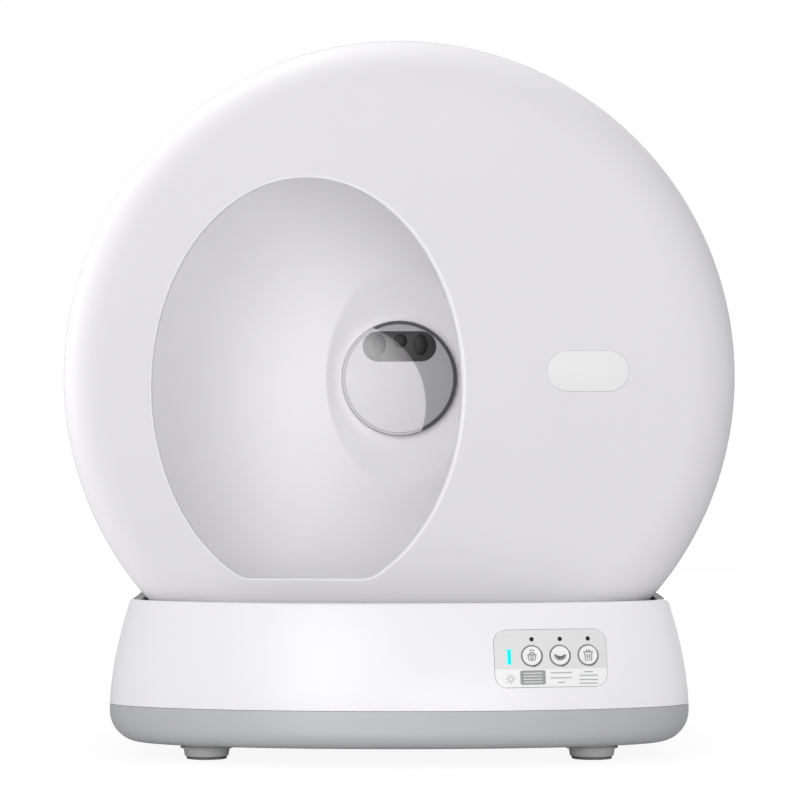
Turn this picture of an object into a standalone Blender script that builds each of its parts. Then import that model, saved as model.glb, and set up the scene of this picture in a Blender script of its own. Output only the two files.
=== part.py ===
"""Self-cleaning litter box: a litter drum that turns as one on a fixed hub, above a low base.

Metres, +Z up, front towards -Y. The origin is on the floor, under the middle of the object.
The drum turns clockwise, seen from the front, to sift and empty: the sieve on its right lets the
litter through, and the clumps slide along the ramp to the port, which then faces the drawer.
"""
import math

import bmesh
import bpy
from mathutils import Matrix, Vector

# Clearances
SEAT_GAP = 0.0003            # between pieces that touch
PANEL_LINE = 0.0010          # visible joint round a drawer or a plate
RUNNING_GAP = 0.0040         # between the drum and what stands still
CUT_OVERRUN = 0.0100         # how far a cutting shape passes what it cuts

# Drum
DRUM_RADIUS = 0.300
DRUM_WALL = 0.003
DRUM_EDGE_ROUND = 0.041
DRUM_FLOOR_GAP = 0.026       # between the drum and the tray floor
BAND_LENGTH = 0.125          # face to the rear edge of the front shell
LAP_LENGTH = 0.028           # how far the bowl reaches into the front shell
LAP_STEP = 0.0057            # bowl radius given up behind the lap
BOWL_DEPTH = 0.190
BOWL_FLAT_RADIUS = 0.122
RECESS_HALF_WIDTH = 0.0715
RECESS_HALF_HEIGHT = 0.1085
RECESS_DEPTH = 0.020
RECESS_FLOOR_MARGIN = 0.003  # flat ring between the recess's slope and the collar
COLLAR_RADIUS = 0.061        # inside
COLLAR_LENGTH = 0.017

# Entry opening, measured from the drum's axis
ENTRY_SHIFT = -0.082
ENTRY_DROP = 0.0093
ENTRY_HALF_WIDTH = 0.137
ENTRY_HALF_HEIGHT = 0.1845
ENTRY_SILL_DROP = 0.1801     # from the axis down to the flat sill
ENTRY_CORNER = 0.024         # length of flat given up to each rounded corner
TRIM_LIP_WIDTH = 0.0032
TRIM_LIP_HEIGHT = 0.0018
TRIM_WALL = 0.0022
TRIM_REACH = 0.0080

# Badge plate
BADGE_SHIFT = 0.167
BADGE_RISE = 0.0047
BADGE_WIDTH = 0.0723
BADGE_HEIGHT = 0.0360
BADGE_THICKNESS = 0.0010

# Waste port, ramp and sieve
PORT_HALF_WIDTH = 0.055
PORT_FRONT_DEPTH = 0.211     # behind the face
PORT_LENGTH = 0.062
RAMP_HALF_WIDTH = 0.070
RAMP_THICKNESS = 0.0025
RAMP_FRONT_RADIUS = 0.190
RAMP_LENGTH_ALONG = 0.192    # behind the face
RAMP_CLEARANCE = 0.0015
SIEVE_ROOM = 0.081           # from the screen to the drum's wall, at its middle
SIEVE_TILT = math.radians(7.5)
SIEVE_THICKNESS = 0.0025
SIEVE_SLOT_WIDTH = 0.012
SIEVE_SLOT_LENGTH = 0.062
SIEVE_BAR = 0.013            # between slots side by side
SIEVE_RIB = 0.016            # between slots end to end
SIEVE_MARGIN = 0.018
SIEVE_COLUMNS = 7
SIEVE_ROWS = 4

# Base
BASE_HALF_DEPTH = 0.2455
BASE_BULGE = 0.0955          # how far the front and the rear bulge past the straight sides
BASE_FLARE = 0.0185          # how much wider the seam is than the rim
BASE_WALL = 0.004
BASE_CORNER = 0.028
RIM_WIDTH = 0.010
RIM_THICKNESS = 0.003
RIM_CHAMFER = 0.0012
RIM_GAP = 0.0064             # between the drum and the rim, at each side
FACE_LEDGE = 0.031           # from the rim to the drum's face
TRAY_HEIGHT = 0.0345
SHELL_HEIGHT = 0.0955
FLARE_POWER = 1.7

# Feet
FOOT_INSET = 0.0865          # from the base's side to the foot's centre
FOOT_HEIGHT = 0.011
FOOT_TOP_RADIUS = 0.0206
FOOT_END_RADIUS = 0.0194
FOOT_FLANGE_RADIUS = 0.0235
FOOT_FLANGE = 0.0015
PAD_RADIUS = 0.0180
PAD_THICKNESS = 0.0020

# Rear housing, deck and frame
HOUSING_INSET = 0.002        # smaller in radius than the drum
HOUSING_WALL = 0.003
HOUSING_FLAT_RADIUS = 0.170
HOUSING_REAR_SPACE = 0.0300  # from the frame to the housing's rear wall
DECK_THICKNESS = 0.003
FRAME_THICKNESS = 0.008
FRAME_FOOT_HALF = 0.080
FRAME_SHOULDER_HALF = 0.100
FRAME_TOP_HALF = 0.045
FRAME_TOP_RISE = 0.092
FRAME_ARM_MARGIN = 0.022

# Hub
TUBE_RADIUS = 0.055
TUBE_WALL = 0.006
TUBE_FRONT_GAP = 0.0165      # from the tube's front end to the recess floor
FLANGE_RADIUS = 0.072
FLANGE_THICKNESS = 0.004
HUB_RING_RADIUS = 0.058
HUB_RING_DEPTH = 0.0050
HUB_DISC_RADIUS = 0.0523
HUB_DISC_THICKNESS = 0.0030
WINDOW_WIDTH = 0.0723
WINDOW_HEIGHT = 0.0324
WINDOW_RISE = 0.0290
WINDOW_THICKNESS = 0.0015
LENS_SHIFTS = (-0.0196, 0.0007, 0.0220)
LENS_RISE = 0.0008           # of the middle lens over the window's centre line
LENS_RADIUS = 0.0062
LENS_CROWN = 0.0012
LENS_BARREL_RADIUS = 0.0045
LENS_SHOULDER_SHARE = 5 / 6    # height of the crown, of its full height, halfway out
LENS_EDGE_SHARE = 1 / 3        # and at its edge
SENSOR_BOARD_GAP = 0.0060
BOARD_THICKNESS = 0.0016
SCREW_CIRCLE = 0.0635
SCREW_RADIUS = 0.0020
SCREW_HEAD_RADIUS = 0.0040
SCREW_HEAD = 0.0026
SCREW_CLEARANCE = 0.0003
SCREW_COUNT = 4

# Drive
GEAR_TEETH = 48
GEAR_PITCH_RADIUS = 0.140
PINION_TEETH = 12
GEAR_WIDTH = 0.012
GEAR_BORE_CLEARANCE = 0.002  # round the recess's back
PINION_ANGLE = math.radians(215)
SHAFT_RADIUS = 0.005
SHAFT_NOSE = 0.0025
GEARBOX_SIDE = 0.036
GEARBOX_DEPTH = 0.016
MOTOR_RADIUS = 0.0110
MOTOR_LENGTH = 0.056

# Front rollers
ROLLER_RADIUS = 0.018
ROLLER_WIDTH = 0.022
ROLLER_ANGLE = math.radians(30)
ROLLER_DEPTH = 0.061         # centre of the roller, behind the face
ROLLER_EDGE = 0.0015
ROLLER_AXLE_RADIUS = 0.003
BRACKET_HALF_WIDTH = 0.009
BRACKET_EAR = 0.004
BRACKET_TOP_RISE = 0.006
BRACKET_FOOT_HALF = 0.026
BRACKET_FOOT_HEIGHT = 0.004
BRACKET_SIDE_GAP = 0.001

# Control panel, on the right of the base's front
PANEL_X = 0.133
PANEL_RISE = 0.0484          # over the seam
PANEL_WIDTH = 0.1014
PANEL_HEIGHT = 0.0520
PANEL_CORNER = 0.0110
PANEL_THICKNESS = 0.0020
PANEL_PROUD = 0.0003
PANEL_LEDGE = 0.0030
BUTTON_RADIUS = 0.0090
BUTTON_GAP = 0.0003
BUTTON_SPACING = 0.0248
BUTTON_SHIFT = 0.0073        # middle button, from the panel's centre
BUTTON_RISE = 0.0022
BUTTON_PROUD = 0.0016
BUTTON_TRAVEL = 0.0010
BUTTON_FLANGE = 0.0012
BUTTON_FLANGE_RADIUS = 0.0102
BUTTON_STEM_RADIUS = 0.0030
BUTTON_EDGE = 0.0006
LAMP_RADIUS = 0.0018
LAMP_RISE = 0.0171
LAMP_DEPTH = 0.0060
BAR_SHIFT = -0.0371
BAR_RISE = 0.0020
BAR_WIDTH = 0.0035
BAR_HEIGHT = 0.0138
PANEL_BOARD_DEPTH = 0.0110
PANEL_BOARD_WIDTH = 0.1160
PANEL_BOARD_HEIGHT = 0.0560
PANEL_POST_RADIUS = 0.0035
PANEL_POST_INSET = 0.0060

# Waste drawer
DRAWER_SIDE_ROOM = 0.1125    # from the base's side to the bin
DRAWER_WALL = 0.0025
DRAWER_FRONT_DEPTH = 0.196   # front end, behind the drum's face
DRAWER_SLOPE_LENGTH = 0.100
DRAWER_LOW_HEIGHT = 0.0267
DRAWER_HIGH_HEIGHT = 0.0760
DRAWER_DOOR_LAP = 0.0045     # how much wider the door is than the bin, at each side
DRAWER_DOOR_HEIGHT = 0.1095
DRAWER_GRIP_HALF_WIDTH = 0.045
DRAWER_GRIP_HEIGHT = 0.015
DRAWER_GRIP_DROP = 0.012
RAIL_WIDTH = 0.004
RAIL_HEIGHT = 0.019
RAIL_LIP = 0.010
RAIL_LIP_HEIGHT = 0.0020
RAIL_END_GAP = 0.0145        # from the rail's end to the door

# Main board and power inlet
MAIN_BOARD_GAP = 0.0187      # from the base's wall
MAIN_BOARD_WIDTH = 0.060
MAIN_BOARD_INSET = 0.040     # from its rear end to the end of the base's straight side
MAIN_BOARD_LENGTH = 0.090
MAIN_BOARD_RISE = 0.006
MAIN_POST_RADIUS = 0.003
MAIN_POST_INSET = 0.007
INLET_INSET = 0.040          # from the end of the base's straight side
INLET_RISE = 0.030           # over the seam
INLET_RADIUS = 0.0070
INLET_FLANGE_RADIUS = 0.0100
INLET_FLANGE = 0.0015
INLET_BORE_RADIUS = 0.0030
INLET_LENGTH = 0.016
INLET_BORE_DEPTH = 0.010

# Facets
DRUM_STEPS = 48
ROUND_STEPS = 24
SMALL_STEPS = 12
HUB_STEPS = 40
EDGE_STEPS = 5
BOWL_STEPS = 5
BULGE_STEPS = 22
ENTRY_STEPS = 32
CORNER_STEPS = 4
FORM_STEPS = 4
MERGE_DISTANCE = 0.00001
SURFACE_PROBE = 0.001        # step used to find the slope of the base's surface
SHARP_ANGLE = math.radians(35)

# Gear teeth: half widths as shares of the tooth pitch, heights as shares of the module
TOOTH_ROOT_SHARE = 0.30
TOOTH_TIP_SHARE = 0.14
ADDENDUM_SHARE = 0.80
DEDENDUM_SHARE = 1.05

# Heights
TRAY_FLOOR_Z = FOOT_HEIGHT + BASE_WALL
SEAM_Z = FOOT_HEIGHT + TRAY_HEIGHT
RIM_Z = SEAM_Z + SHELL_HEIGHT
AXLE_Z = TRAY_FLOOR_Z + DRUM_FLOOR_GAP + DRUM_RADIUS
DECK_TOP_Z = RIM_Z - RIM_THICKNESS - SEAT_GAP
DECK_Z = DECK_TOP_Z - DECK_THICKNESS

# Widths of the base, which follow the drum's chord at the height of the rim, and of the drawer
RIM_HALF_WIDTH = math.sqrt(DRUM_RADIUS**2 - (AXLE_Z - RIM_Z) ** 2) + RIM_GAP + RIM_WIDTH
SEAM_HALF_WIDTH = RIM_HALF_WIDTH + BASE_FLARE
DRAWER_HALF_WIDTH = SEAM_HALF_WIDTH - DRAWER_SIDE_ROOM
DRAWER_DOOR_HALF_WIDTH = DRAWER_HALF_WIDTH + DRAWER_DOOR_LAP
SIEVE_DISTANCE = DRUM_RADIUS - SIEVE_ROOM

# The base's straight sides, and the feet near their corners
BASE_STRAIGHT = BASE_HALF_DEPTH - BASE_BULGE
FOOT_X = SEAM_HALF_WIDTH - FOOT_INSET
FOOT_Y = BASE_STRAIGHT

# Depths, from the front to the rear
FACE_Y = -(BASE_HALF_DEPTH - BASE_FLARE - RIM_WIDTH - FACE_LEDGE)
BAND_END_Y = FACE_Y + BAND_LENGTH
BOWL_Y = BAND_END_Y - SEAT_GAP - DRUM_WALL
BOWL_END_Y = BOWL_Y + BOWL_DEPTH
RECESS_END_Y = BOWL_END_Y + RECESS_DEPTH
COLLAR_END_Y = RECESS_END_Y + DRUM_WALL + COLLAR_LENGTH
GEAR_Y = BOWL_END_Y + DRUM_WALL + SEAT_GAP
FRAME_Y = COLLAR_END_Y + RUNNING_GAP
FRAME_END_Y = FRAME_Y + FRAME_THICKNESS
HOUSING_Y = BAND_END_Y + RUNNING_GAP
HOUSING_END_Y = FRAME_END_Y + HOUSING_REAR_SPACE + HOUSING_WALL
TUBE_Y = RECESS_END_Y - TUBE_FRONT_GAP

# Radii of the bowl's inner surface
LAP_RADIUS = DRUM_RADIUS - DRUM_WALL - SEAT_GAP - DRUM_WALL
BOWL_RADIUS = LAP_RADIUS - LAP_STEP

# Pinion and rollers
MODULE = 2 * GEAR_PITCH_RADIUS / GEAR_TEETH
PINION_PITCH_RADIUS = GEAR_PITCH_RADIUS * PINION_TEETH / GEAR_TEETH
PINION_X = (GEAR_PITCH_RADIUS + PINION_PITCH_RADIUS) * math.cos(PINION_ANGLE)
PINION_Z = AXLE_Z + (GEAR_PITCH_RADIUS + PINION_PITCH_RADIUS) * math.sin(PINION_ANGLE)
ROLLER_X = (DRUM_RADIUS + SEAT_GAP + ROLLER_RADIUS) * math.sin(ROLLER_ANGLE)
ROLLER_Z = AXLE_Z - (DRUM_RADIUS + SEAT_GAP + ROLLER_RADIUS) * math.cos(ROLLER_ANGLE)
ROLLER_Y = FACE_Y + ROLLER_DEPTH

# Colours (linear), roughness, metallic
WHITE = ((0.78, 0.77, 0.79), 0.35, 0.0)
BASE_WHITE = ((0.85, 0.85, 0.86), 0.25, 0.0)
GREY = ((0.42, 0.43, 0.44), 0.45, 0.0)
DARK = ((0.05, 0.05, 0.055), 0.15, 0.0)
LAMP = ((0.10, 0.85, 0.80), 0.30, 0.0)
RUBBER = ((0.06, 0.06, 0.06), 0.80, 0.0)
STEEL = ((0.60, 0.60, 0.62), 0.30, 1.0)
BOARD = ((0.03, 0.18, 0.08), 0.50, 0.0)

UPRIGHT = Matrix.Identity(4)
FACING_FRONT = Matrix.Rotation(math.pi / 2, 4, "X")     # local +Z looks forwards, local +Y up
FACING_LEFT = Matrix.Rotation(-math.pi / 2, 4, "Y")     # local +Z looks to -X


def at(x, y, z, turn=UPRIGHT):
    """A place in the world, with its turn."""
    return Matrix.Translation((x, y, z)) @ turn


def material(name, finish):
    """A Principled material, made once for each name."""
    colour, roughness, metallic = finish
    paint = bpy.data.materials.get(name) or bpy.data.materials.new(name)
    paint.use_nodes = True
    shader = paint.node_tree.nodes["Principled BSDF"]
    shader.inputs["Base Color"].default_value = (*colour, 1.0)
    shader.inputs["Roughness"].default_value = roughness
    shader.inputs["Metallic"].default_value = metallic
    return paint


def add(name, mesh, place, finish):
    """Link a mesh as a part, or as a cutting shape when it has no finish."""
    piece = bpy.data.objects.new(name, mesh)
    piece.matrix_world = place
    if finish is None:
        bpy.data.collections["cutters"].objects.link(piece)
        piece.hide_render = True
        piece.display_type = "WIRE"
        return piece
    bpy.data.collections["litter_box"].objects.link(piece)
    mesh.materials.append(material(name + "_finish", finish))
    mesh.shade_smooth()
    mesh.set_sharp_from_angle(angle=SHARP_ANGLE)
    return piece


def made_mesh(guide):
    """The mesh that a guide's modifiers or curve settings give. The guide is removed."""
    bpy.context.view_layer.update()
    depsgraph = bpy.context.evaluated_depsgraph_get()
    mesh = bpy.data.meshes.new_from_object(guide.evaluated_get(depsgraph))
    bpy.data.objects.remove(guide)
    return mesh


def closed_mesh(name, shape):
    """Turn a bmesh into a mesh with its faces outwards."""
    bmesh.ops.remove_doubles(shape, verts=shape.verts, dist=MERGE_DISTANCE)
    bmesh.ops.recalc_face_normals(shape, faces=shape.faces)
    mesh = bpy.data.meshes.new(name)
    shape.to_mesh(mesh)
    shape.free()
    return mesh


def box(name, low, high, finish, place=UPRIGHT):
    """A box between two corners."""
    shape = bmesh.new()
    size = Vector(high) - Vector(low)
    middle = (Vector(high) + Vector(low)) / 2
    stretch = Matrix.Translation(middle) @ Matrix.Diagonal((*size, 1))
    bmesh.ops.create_cube(shape, size=1, matrix=stretch)
    return add(name, closed_mesh(name, shape), place, finish)


def turned(name, profile, place, finish, steps=ROUND_STEPS):
    """A body of revolution about local Z. The profile's (radius, height) points run down its outer side."""
    closes = profile[0][0] > 0
    mesh = bpy.data.meshes.new(name)
    edges = [(index, index + 1) for index in range(len(profile) - 1)]
    if closes:
        edges.append((len(profile) - 1, 0))
    mesh.from_pydata([(radius, 0, height) for radius, height in profile], edges, [])
    guide = bpy.data.objects.new(name + "_profile", mesh)
    bpy.context.scene.collection.objects.link(guide)
    screw = guide.modifiers.new("turn", "SCREW")
    screw.axis = "Z"
    screw.steps = steps
    screw.render_steps = steps
    screw.use_merge_vertices = True
    screw.merge_threshold = MERGE_DISTANCE
    weld = guide.modifiers.new("poles", "WELD")
    weld.merge_threshold = MERGE_DISTANCE
    return add(name, made_mesh(guide), place, finish)


def cylinder(name, radius, length, place, finish, steps=SMALL_STEPS):
    """A cylinder that runs from its place backwards, along local -Z."""
    profile = [(0, 0), (radius, 0), (radius, -length), (0, -length)]
    return turned(name, profile, place, finish, steps)


def flat_piece(name, outlines, thickness, place, finish):
    """A plate: the first outline is its edge and the others are holes. It is centred on local Z."""
    curve = bpy.data.curves.new(name, "CURVE")
    curve.dimensions = "2D"
    curve.fill_mode = "BOTH"
    curve.extrude = thickness / 2
    for outline in outlines:
        spline = curve.splines.new("POLY")
        spline.points.add(len(outline) - 1)
        spline.use_cyclic_u = True
        for point, (across, up) in zip(spline.points, outline):
            point.co = (across, up, 0, 1)
    guide = bpy.data.objects.new(name + "_outline", curve)
    bpy.context.scene.collection.objects.link(guide)
    shape = bmesh.new()
    shape.from_mesh(made_mesh(guide))
    return add(name, closed_mesh(name, shape), place, finish)


def lofted(name, rings, finish, ring_closed=False, place=UPRIGHT):
    """A body through rings of equal point counts: capped at both ends, or joined end to end."""
    shape = bmesh.new()
    rows = [[shape.verts.new(point) for point in ring] for ring in rings]
    pairs = list(zip(rows, rows[1:]))
    if ring_closed:
        pairs.append((rows[-1], rows[0]))
    else:
        shape.faces.new(rows[0])
        shape.faces.new(rows[-1])
    for row, following in pairs:
        for index in range(len(row)):
            after = (index + 1) % len(row)
            shape.faces.new((row[index], row[after], following[after], following[index]))
    return add(name, closed_mesh(name, shape), place, finish)


def carve(piece, *cutters, operation="DIFFERENCE"):
    """Cut a piece by each of the cutting shapes, or keep what lies inside them."""
    for cutter in cutters:
        modifier = piece.modifiers.new(operation.lower() + "_" + cutter.name, "BOOLEAN")
        modifier.operation = operation
        modifier.solver = "EXACT"
        modifier.object = cutter
    return piece


def several(name, shapes, place):
    """One cutting shape from the meshes of several, in their own places."""
    shape = bmesh.new()
    for tool in shapes:
        place_in_world = tool.matrix_world.copy()
        part = made_mesh(tool)
        part.transform(place_in_world)
        shape.from_mesh(part)
    mesh = bpy.data.meshes.new(name)
    shape.to_mesh(mesh)
    shape.free()
    return add(name, mesh, place, None)


def ride_on(empty, *pieces):
    """Hang pieces on the empty that marks their joint's axis."""
    for piece in pieces:
        piece.parent = empty
        piece.matrix_parent_inverse = empty.matrix_basis.inverted()


def joint_mark(name, place):
    """An empty on a joint's axis."""
    mark = bpy.data.objects.new(name, None)
    mark.matrix_world = place
    bpy.data.collections["litter_box"].objects.link(mark)
    return mark


def circle(radius, steps=SMALL_STEPS, across=0, up=0):
    """Points of a circle about a centre."""
    angles = [2 * math.pi * step / steps for step in range(steps)]
    return [(across + radius * math.cos(angle), up + radius * math.sin(angle)) for angle in angles]


def rounded_rectangle(width, height, corner, steps=CORNER_STEPS):
    """Points of a rectangle with quarter-circle corners, about its centre."""
    points = []
    for quarter, (side, end) in enumerate(((1, 1), (-1, 1), (-1, -1), (1, -1))):
        for step in range(steps + 1):
            angle = math.pi / 2 * (quarter + step / steps)
            across = side * (width / 2 - corner) + corner * math.cos(angle)
            up = end * (height / 2 - corner) + corner * math.sin(angle)
            points.append((across, up))
    return points


def base_half_width(z, inset=0):
    """Half the base's width at a height: it flares towards the seam and rounds in at the bottom."""
    if z >= SEAM_Z:
        rise = (z - SEAM_Z) / SHELL_HEIGHT
        return SEAM_HALF_WIDTH - BASE_FLARE * rise**FLARE_POWER - inset
    radius = BASE_CORNER - inset
    drop = max(0, FOOT_HEIGHT + BASE_CORNER - z)
    return SEAM_HALF_WIDTH - inset - radius + math.sqrt(max(0, radius**2 - drop**2))


def plan(half_width, z):
    """The base's outline: straight sides with half an ellipse at the front and at the rear."""
    half_depth = half_width - SEAM_HALF_WIDTH + BASE_HALF_DEPTH
    ring = []
    for end in (-1, 1):
        for step in range(BULGE_STEPS + 1):
            angle = math.pi * step / BULGE_STEPS
            bulge = (half_depth - BASE_STRAIGHT) * math.sin(angle)
            ring.append((-end * half_width * math.cos(angle), end * (BASE_STRAIGHT + bulge), z))
    return ring


def form_heights(low, high, steps):
    """Heights from low to high in equal steps, both ends kept."""
    return [low + (high - low) * step / steps for step in range(steps + 1)]


def base_rings(inset, low, high):
    """Rings of the base's surface, moved inwards by inset, from low to high."""
    corner_top = FOOT_HEIGHT + BASE_CORNER
    heights = []
    if low < corner_top:
        radius = BASE_CORNER - inset
        for step in range(FORM_STEPS):
            angle = math.pi / 2 * (1 - step / FORM_STEPS)
            heights.append(corner_top - radius * math.sin(angle))
    heights += form_heights(max(corner_top, low), SEAM_Z, 1) if low < SEAM_Z else []
    if high > SEAM_Z:
        heights += form_heights(max(low, SEAM_Z), high, FORM_STEPS)
    kept = sorted({height for height in heights if low <= height <= high})
    return [plan(base_half_width(z, inset), z) for z in kept]


def base_form(name, inset, low=None, high=None):
    """The base's whole outer form, moved inwards by inset, as a cutting shape."""
    low = FOOT_HEIGHT + inset if low is None else low
    high = RIM_Z if high is None else high
    return lofted(name, base_rings(inset, low, high), None)


def base_front(x, z, inset=0):
    """The y of the base's front surface at x and z, moved inwards by inset."""
    half_width = base_half_width(z, inset)
    bulge = half_width - SEAM_HALF_WIDTH + BASE_HALF_DEPTH - BASE_STRAIGHT
    return -(BASE_STRAIGHT + bulge * math.sqrt(1 - (x / half_width) ** 2))


def on_panel(across=0, up=0):
    """A place on the base's front, from the panel's centre: local Z out, local Y up, local X right."""
    x = PANEL_X + across
    z = SEAM_Z + PANEL_RISE + up
    centre = Vector((x, base_front(x, z), z))
    aside = Vector((SURFACE_PROBE, base_front(x + SURFACE_PROBE, z) - centre.y, 0)).normalized()
    above = Vector((0, base_front(x, z + SURFACE_PROBE) - centre.y, SURFACE_PROBE))
    out = aside.cross(above).normalized()
    turn = Matrix((aside, out.cross(aside), out)).transposed().to_4x4()
    return Matrix.Translation(centre) @ turn


def edge_arc(radius, depth, round_radius):
    """A quarter circle from a flat face at depth out to the rim radius, as (radius, height) points."""
    points = []
    for step in range(EDGE_STEPS + 1):
        angle = math.pi / 2 * (1 - step / EDGE_STEPS)
        across = radius - round_radius + round_radius * math.cos(angle)
        points.append((across, depth - round_radius + round_radius * math.sin(angle)))
    return points


def bowl_arc(offset):
    """The bowl's side as (radius, y): a quarter ellipse from the lap to the flat rear wall."""
    points = []
    for step in range(BOWL_STEPS + 1):
        angle = math.pi / 2 * step / BOWL_STEPS
        radius = BOWL_FLAT_RADIUS + (BOWL_RADIUS - BOWL_FLAT_RADIUS + offset) * math.cos(angle)
        points.append((radius, BOWL_Y + (BOWL_DEPTH + offset) * math.sin(angle)))
    return points


def drum_room():
    """The space inside the drum, a seat gap clear of its walls, as a cutting shape."""
    front = FACE_Y + DRUM_WALL + SEAT_GAP
    inner = DRUM_RADIUS - DRUM_WALL - SEAT_GAP
    lap_start = BAND_END_Y - LAP_LENGTH
    profile = [(0, -front)]
    profile += edge_arc(inner, -front, DRUM_EDGE_ROUND - DRUM_WALL - SEAT_GAP)
    profile += [(inner, -(lap_start - SEAT_GAP)), (LAP_RADIUS - SEAT_GAP, -(lap_start - SEAT_GAP))]
    profile += [(LAP_RADIUS - SEAT_GAP, -(BOWL_Y - DRUM_WALL - SEAT_GAP))]
    profile += [(BOWL_RADIUS - SEAT_GAP, -(BOWL_Y - DRUM_WALL - SEAT_GAP))]
    profile += [(radius, -y) for radius, y in bowl_arc(-SEAT_GAP)]
    profile += [(0, -(BOWL_END_Y - SEAT_GAP))]
    return turned("drum_room", profile, at(0, 0, AXLE_Z, FACING_FRONT), None, DRUM_STEPS)


def entry_outline(grow=0):
    """The entry's outline about the drum's axis: an ellipse cut by a flat sill, with rounded corners."""
    half_width = ENTRY_HALF_WIDTH + grow
    half_height = ENTRY_HALF_HEIGHT + grow
    sill = -(ENTRY_SILL_DROP + grow)
    sill_angle = math.asin((sill + ENTRY_DROP) / half_height)
    corner_x = half_width * math.cos(sill_angle)
    corner = ENTRY_CORNER + grow
    start_angle = sill_angle + math.atan2(corner, half_width)
    points = []
    for step in range(ENTRY_STEPS + 1):
        angle = start_angle + (math.pi - 2 * start_angle) * step / ENTRY_STEPS
        points.append((half_width * math.cos(angle), half_height * math.sin(angle) - ENTRY_DROP))
    ends = (points[-1], points[0])
    for side, (end_x, end_up) in zip((-1, 1), ends):
        flat_x = side * (corner_x - corner)
        stations = [step / CORNER_STEPS for step in range(1, CORNER_STEPS + 1)]
        bend = []
        for share in stations:
            first, middle, last = (1 - share) ** 2, 2 * share * (1 - share), share**2
            across = first * end_x + middle * side * corner_x + last * flat_x
            bend.append((across, first * end_up + (middle + last) * sill))
        points += bend if side < 0 else bend[::-1]
    return [(ENTRY_SHIFT + across, up) for across, up in points]


def gear_outline(teeth, pitch_radius, first_angle):
    """Straight-sided teeth about a centre, the first one at first_angle."""
    pitch = 2 * math.pi / teeth
    root = pitch_radius - DEDENDUM_SHARE * MODULE
    tip = pitch_radius + ADDENDUM_SHARE * MODULE
    points = []
    for tooth in range(teeth):
        middle = first_angle + tooth * pitch
        root_angle, tip_angle = TOOTH_ROOT_SHARE * pitch, TOOTH_TIP_SHARE * pitch
        for radius, turn in ((root, -root_angle), (tip, -tip_angle), (tip, tip_angle), (root, root_angle)):
            points.append((radius * math.cos(middle + turn), radius * math.sin(middle + turn)))
    return points


def front_shell():
    """The drum's front: a flat face, a rounded edge and a short band, with the entry cut through."""
    inner_round = DRUM_EDGE_ROUND - DRUM_WALL
    outer = [(0, -FACE_Y)] + edge_arc(DRUM_RADIUS, -FACE_Y, DRUM_EDGE_ROUND)
    outer += [(DRUM_RADIUS, -BAND_END_Y)]
    inner_radius = DRUM_RADIUS - DRUM_WALL
    inner = [(0, -FACE_Y - DRUM_WALL)] + edge_arc(inner_radius, -FACE_Y - DRUM_WALL, inner_round)
    inner += [(inner_radius, -BAND_END_Y)]
    place = at(0, 0, AXLE_Z, FACING_FRONT)
    shell = turned("drum_front_shell", outer + inner[::-1], place, WHITE, DRUM_STEPS)
    through = 2 * (DRUM_WALL + CUT_OVERRUN)
    entry = flat_piece("entry_cut", [entry_outline()], through, at(0, FACE_Y, AXLE_Z, FACING_FRONT), None)
    return carve(shell, entry)


def bowl():
    """The drum's rear: lap, round bowl, oval recess about the hub, collar, and the waste port."""

    def ring(half_across, half_up, y):
        angles = [2 * math.pi * step / DRUM_STEPS for step in range(DRUM_STEPS)]
        return [(half_across * math.cos(angle), y, AXLE_Z + half_up * math.sin(angle)) for angle in angles]

    def recess(offset):
        foot = COLLAR_RADIUS + RECESS_FLOOR_MARGIN + offset
        low, high = BOWL_END_Y + offset, RECESS_END_Y + offset
        half_width, half_height = RECESS_HALF_WIDTH + offset, RECESS_HALF_HEIGHT + offset
        middle = ring((half_width + foot) / 2, (half_height + foot) / 2, (low + high) / 2)
        return [ring(half_width, half_height, low), middle, ring(foot, foot, high)]

    lap_start = BAND_END_Y - LAP_LENGTH
    lap_outer = LAP_RADIUS + DRUM_WALL
    rings = [ring(lap_outer, lap_outer, lap_start), ring(lap_outer, lap_outer, BOWL_Y)]
    rings += [ring(radius, radius, y) for radius, y in bowl_arc(DRUM_WALL)]
    rings += recess(DRUM_WALL)
    collar_outer = COLLAR_RADIUS + RECESS_FLOOR_MARGIN + DRUM_WALL
    rings += [ring(collar_outer, collar_outer, COLLAR_END_Y)]
    rings += [ring(COLLAR_RADIUS, COLLAR_RADIUS, y) for y in (COLLAR_END_Y, RECESS_END_Y)]
    rings += recess(0)[::-1]
    rings += [ring(radius, radius, y) for radius, y in bowl_arc(0)][::-1]
    shoulder = BOWL_Y - DRUM_WALL
    rings += [ring(BOWL_RADIUS, BOWL_RADIUS, shoulder), ring(LAP_RADIUS, LAP_RADIUS, shoulder)]
    rings += [ring(LAP_RADIUS, LAP_RADIUS, lap_start)]
    shell = lofted("drum_bowl", rings, WHITE, ring_closed=True)
    port_y = FACE_Y + PORT_FRONT_DEPTH
    low = (-PORT_HALF_WIDTH, port_y, AXLE_Z + BOWL_FLAT_RADIUS)
    high = (PORT_HALF_WIDTH, port_y + PORT_LENGTH, AXLE_Z + DRUM_RADIUS)
    return carve(shell, box("port_cut", low, high, None))


def entry_trim():
    """A lip round the entry: it lies on the face and lines the cut edge."""
    front = FACE_Y - SEAT_GAP
    section = [
        (TRIM_LIP_WIDTH, front),
        (TRIM_LIP_WIDTH, front - TRIM_LIP_HEIGHT / 2),
        (TRIM_LIP_WIDTH / 2, front - TRIM_LIP_HEIGHT),
        (-TRIM_WALL / 2, front - TRIM_LIP_HEIGHT),
        (-TRIM_WALL, front),
        (-TRIM_WALL, front + TRIM_REACH),
        (-SEAT_GAP, front + TRIM_REACH),
        (-SEAT_GAP, front),
    ]
    rings = [[(across, y, AXLE_Z + up) for across, up in entry_outline(grow)] for grow, y in section]
    return lofted("entry_trim", rings, BASE_WHITE, ring_closed=True)


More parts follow.
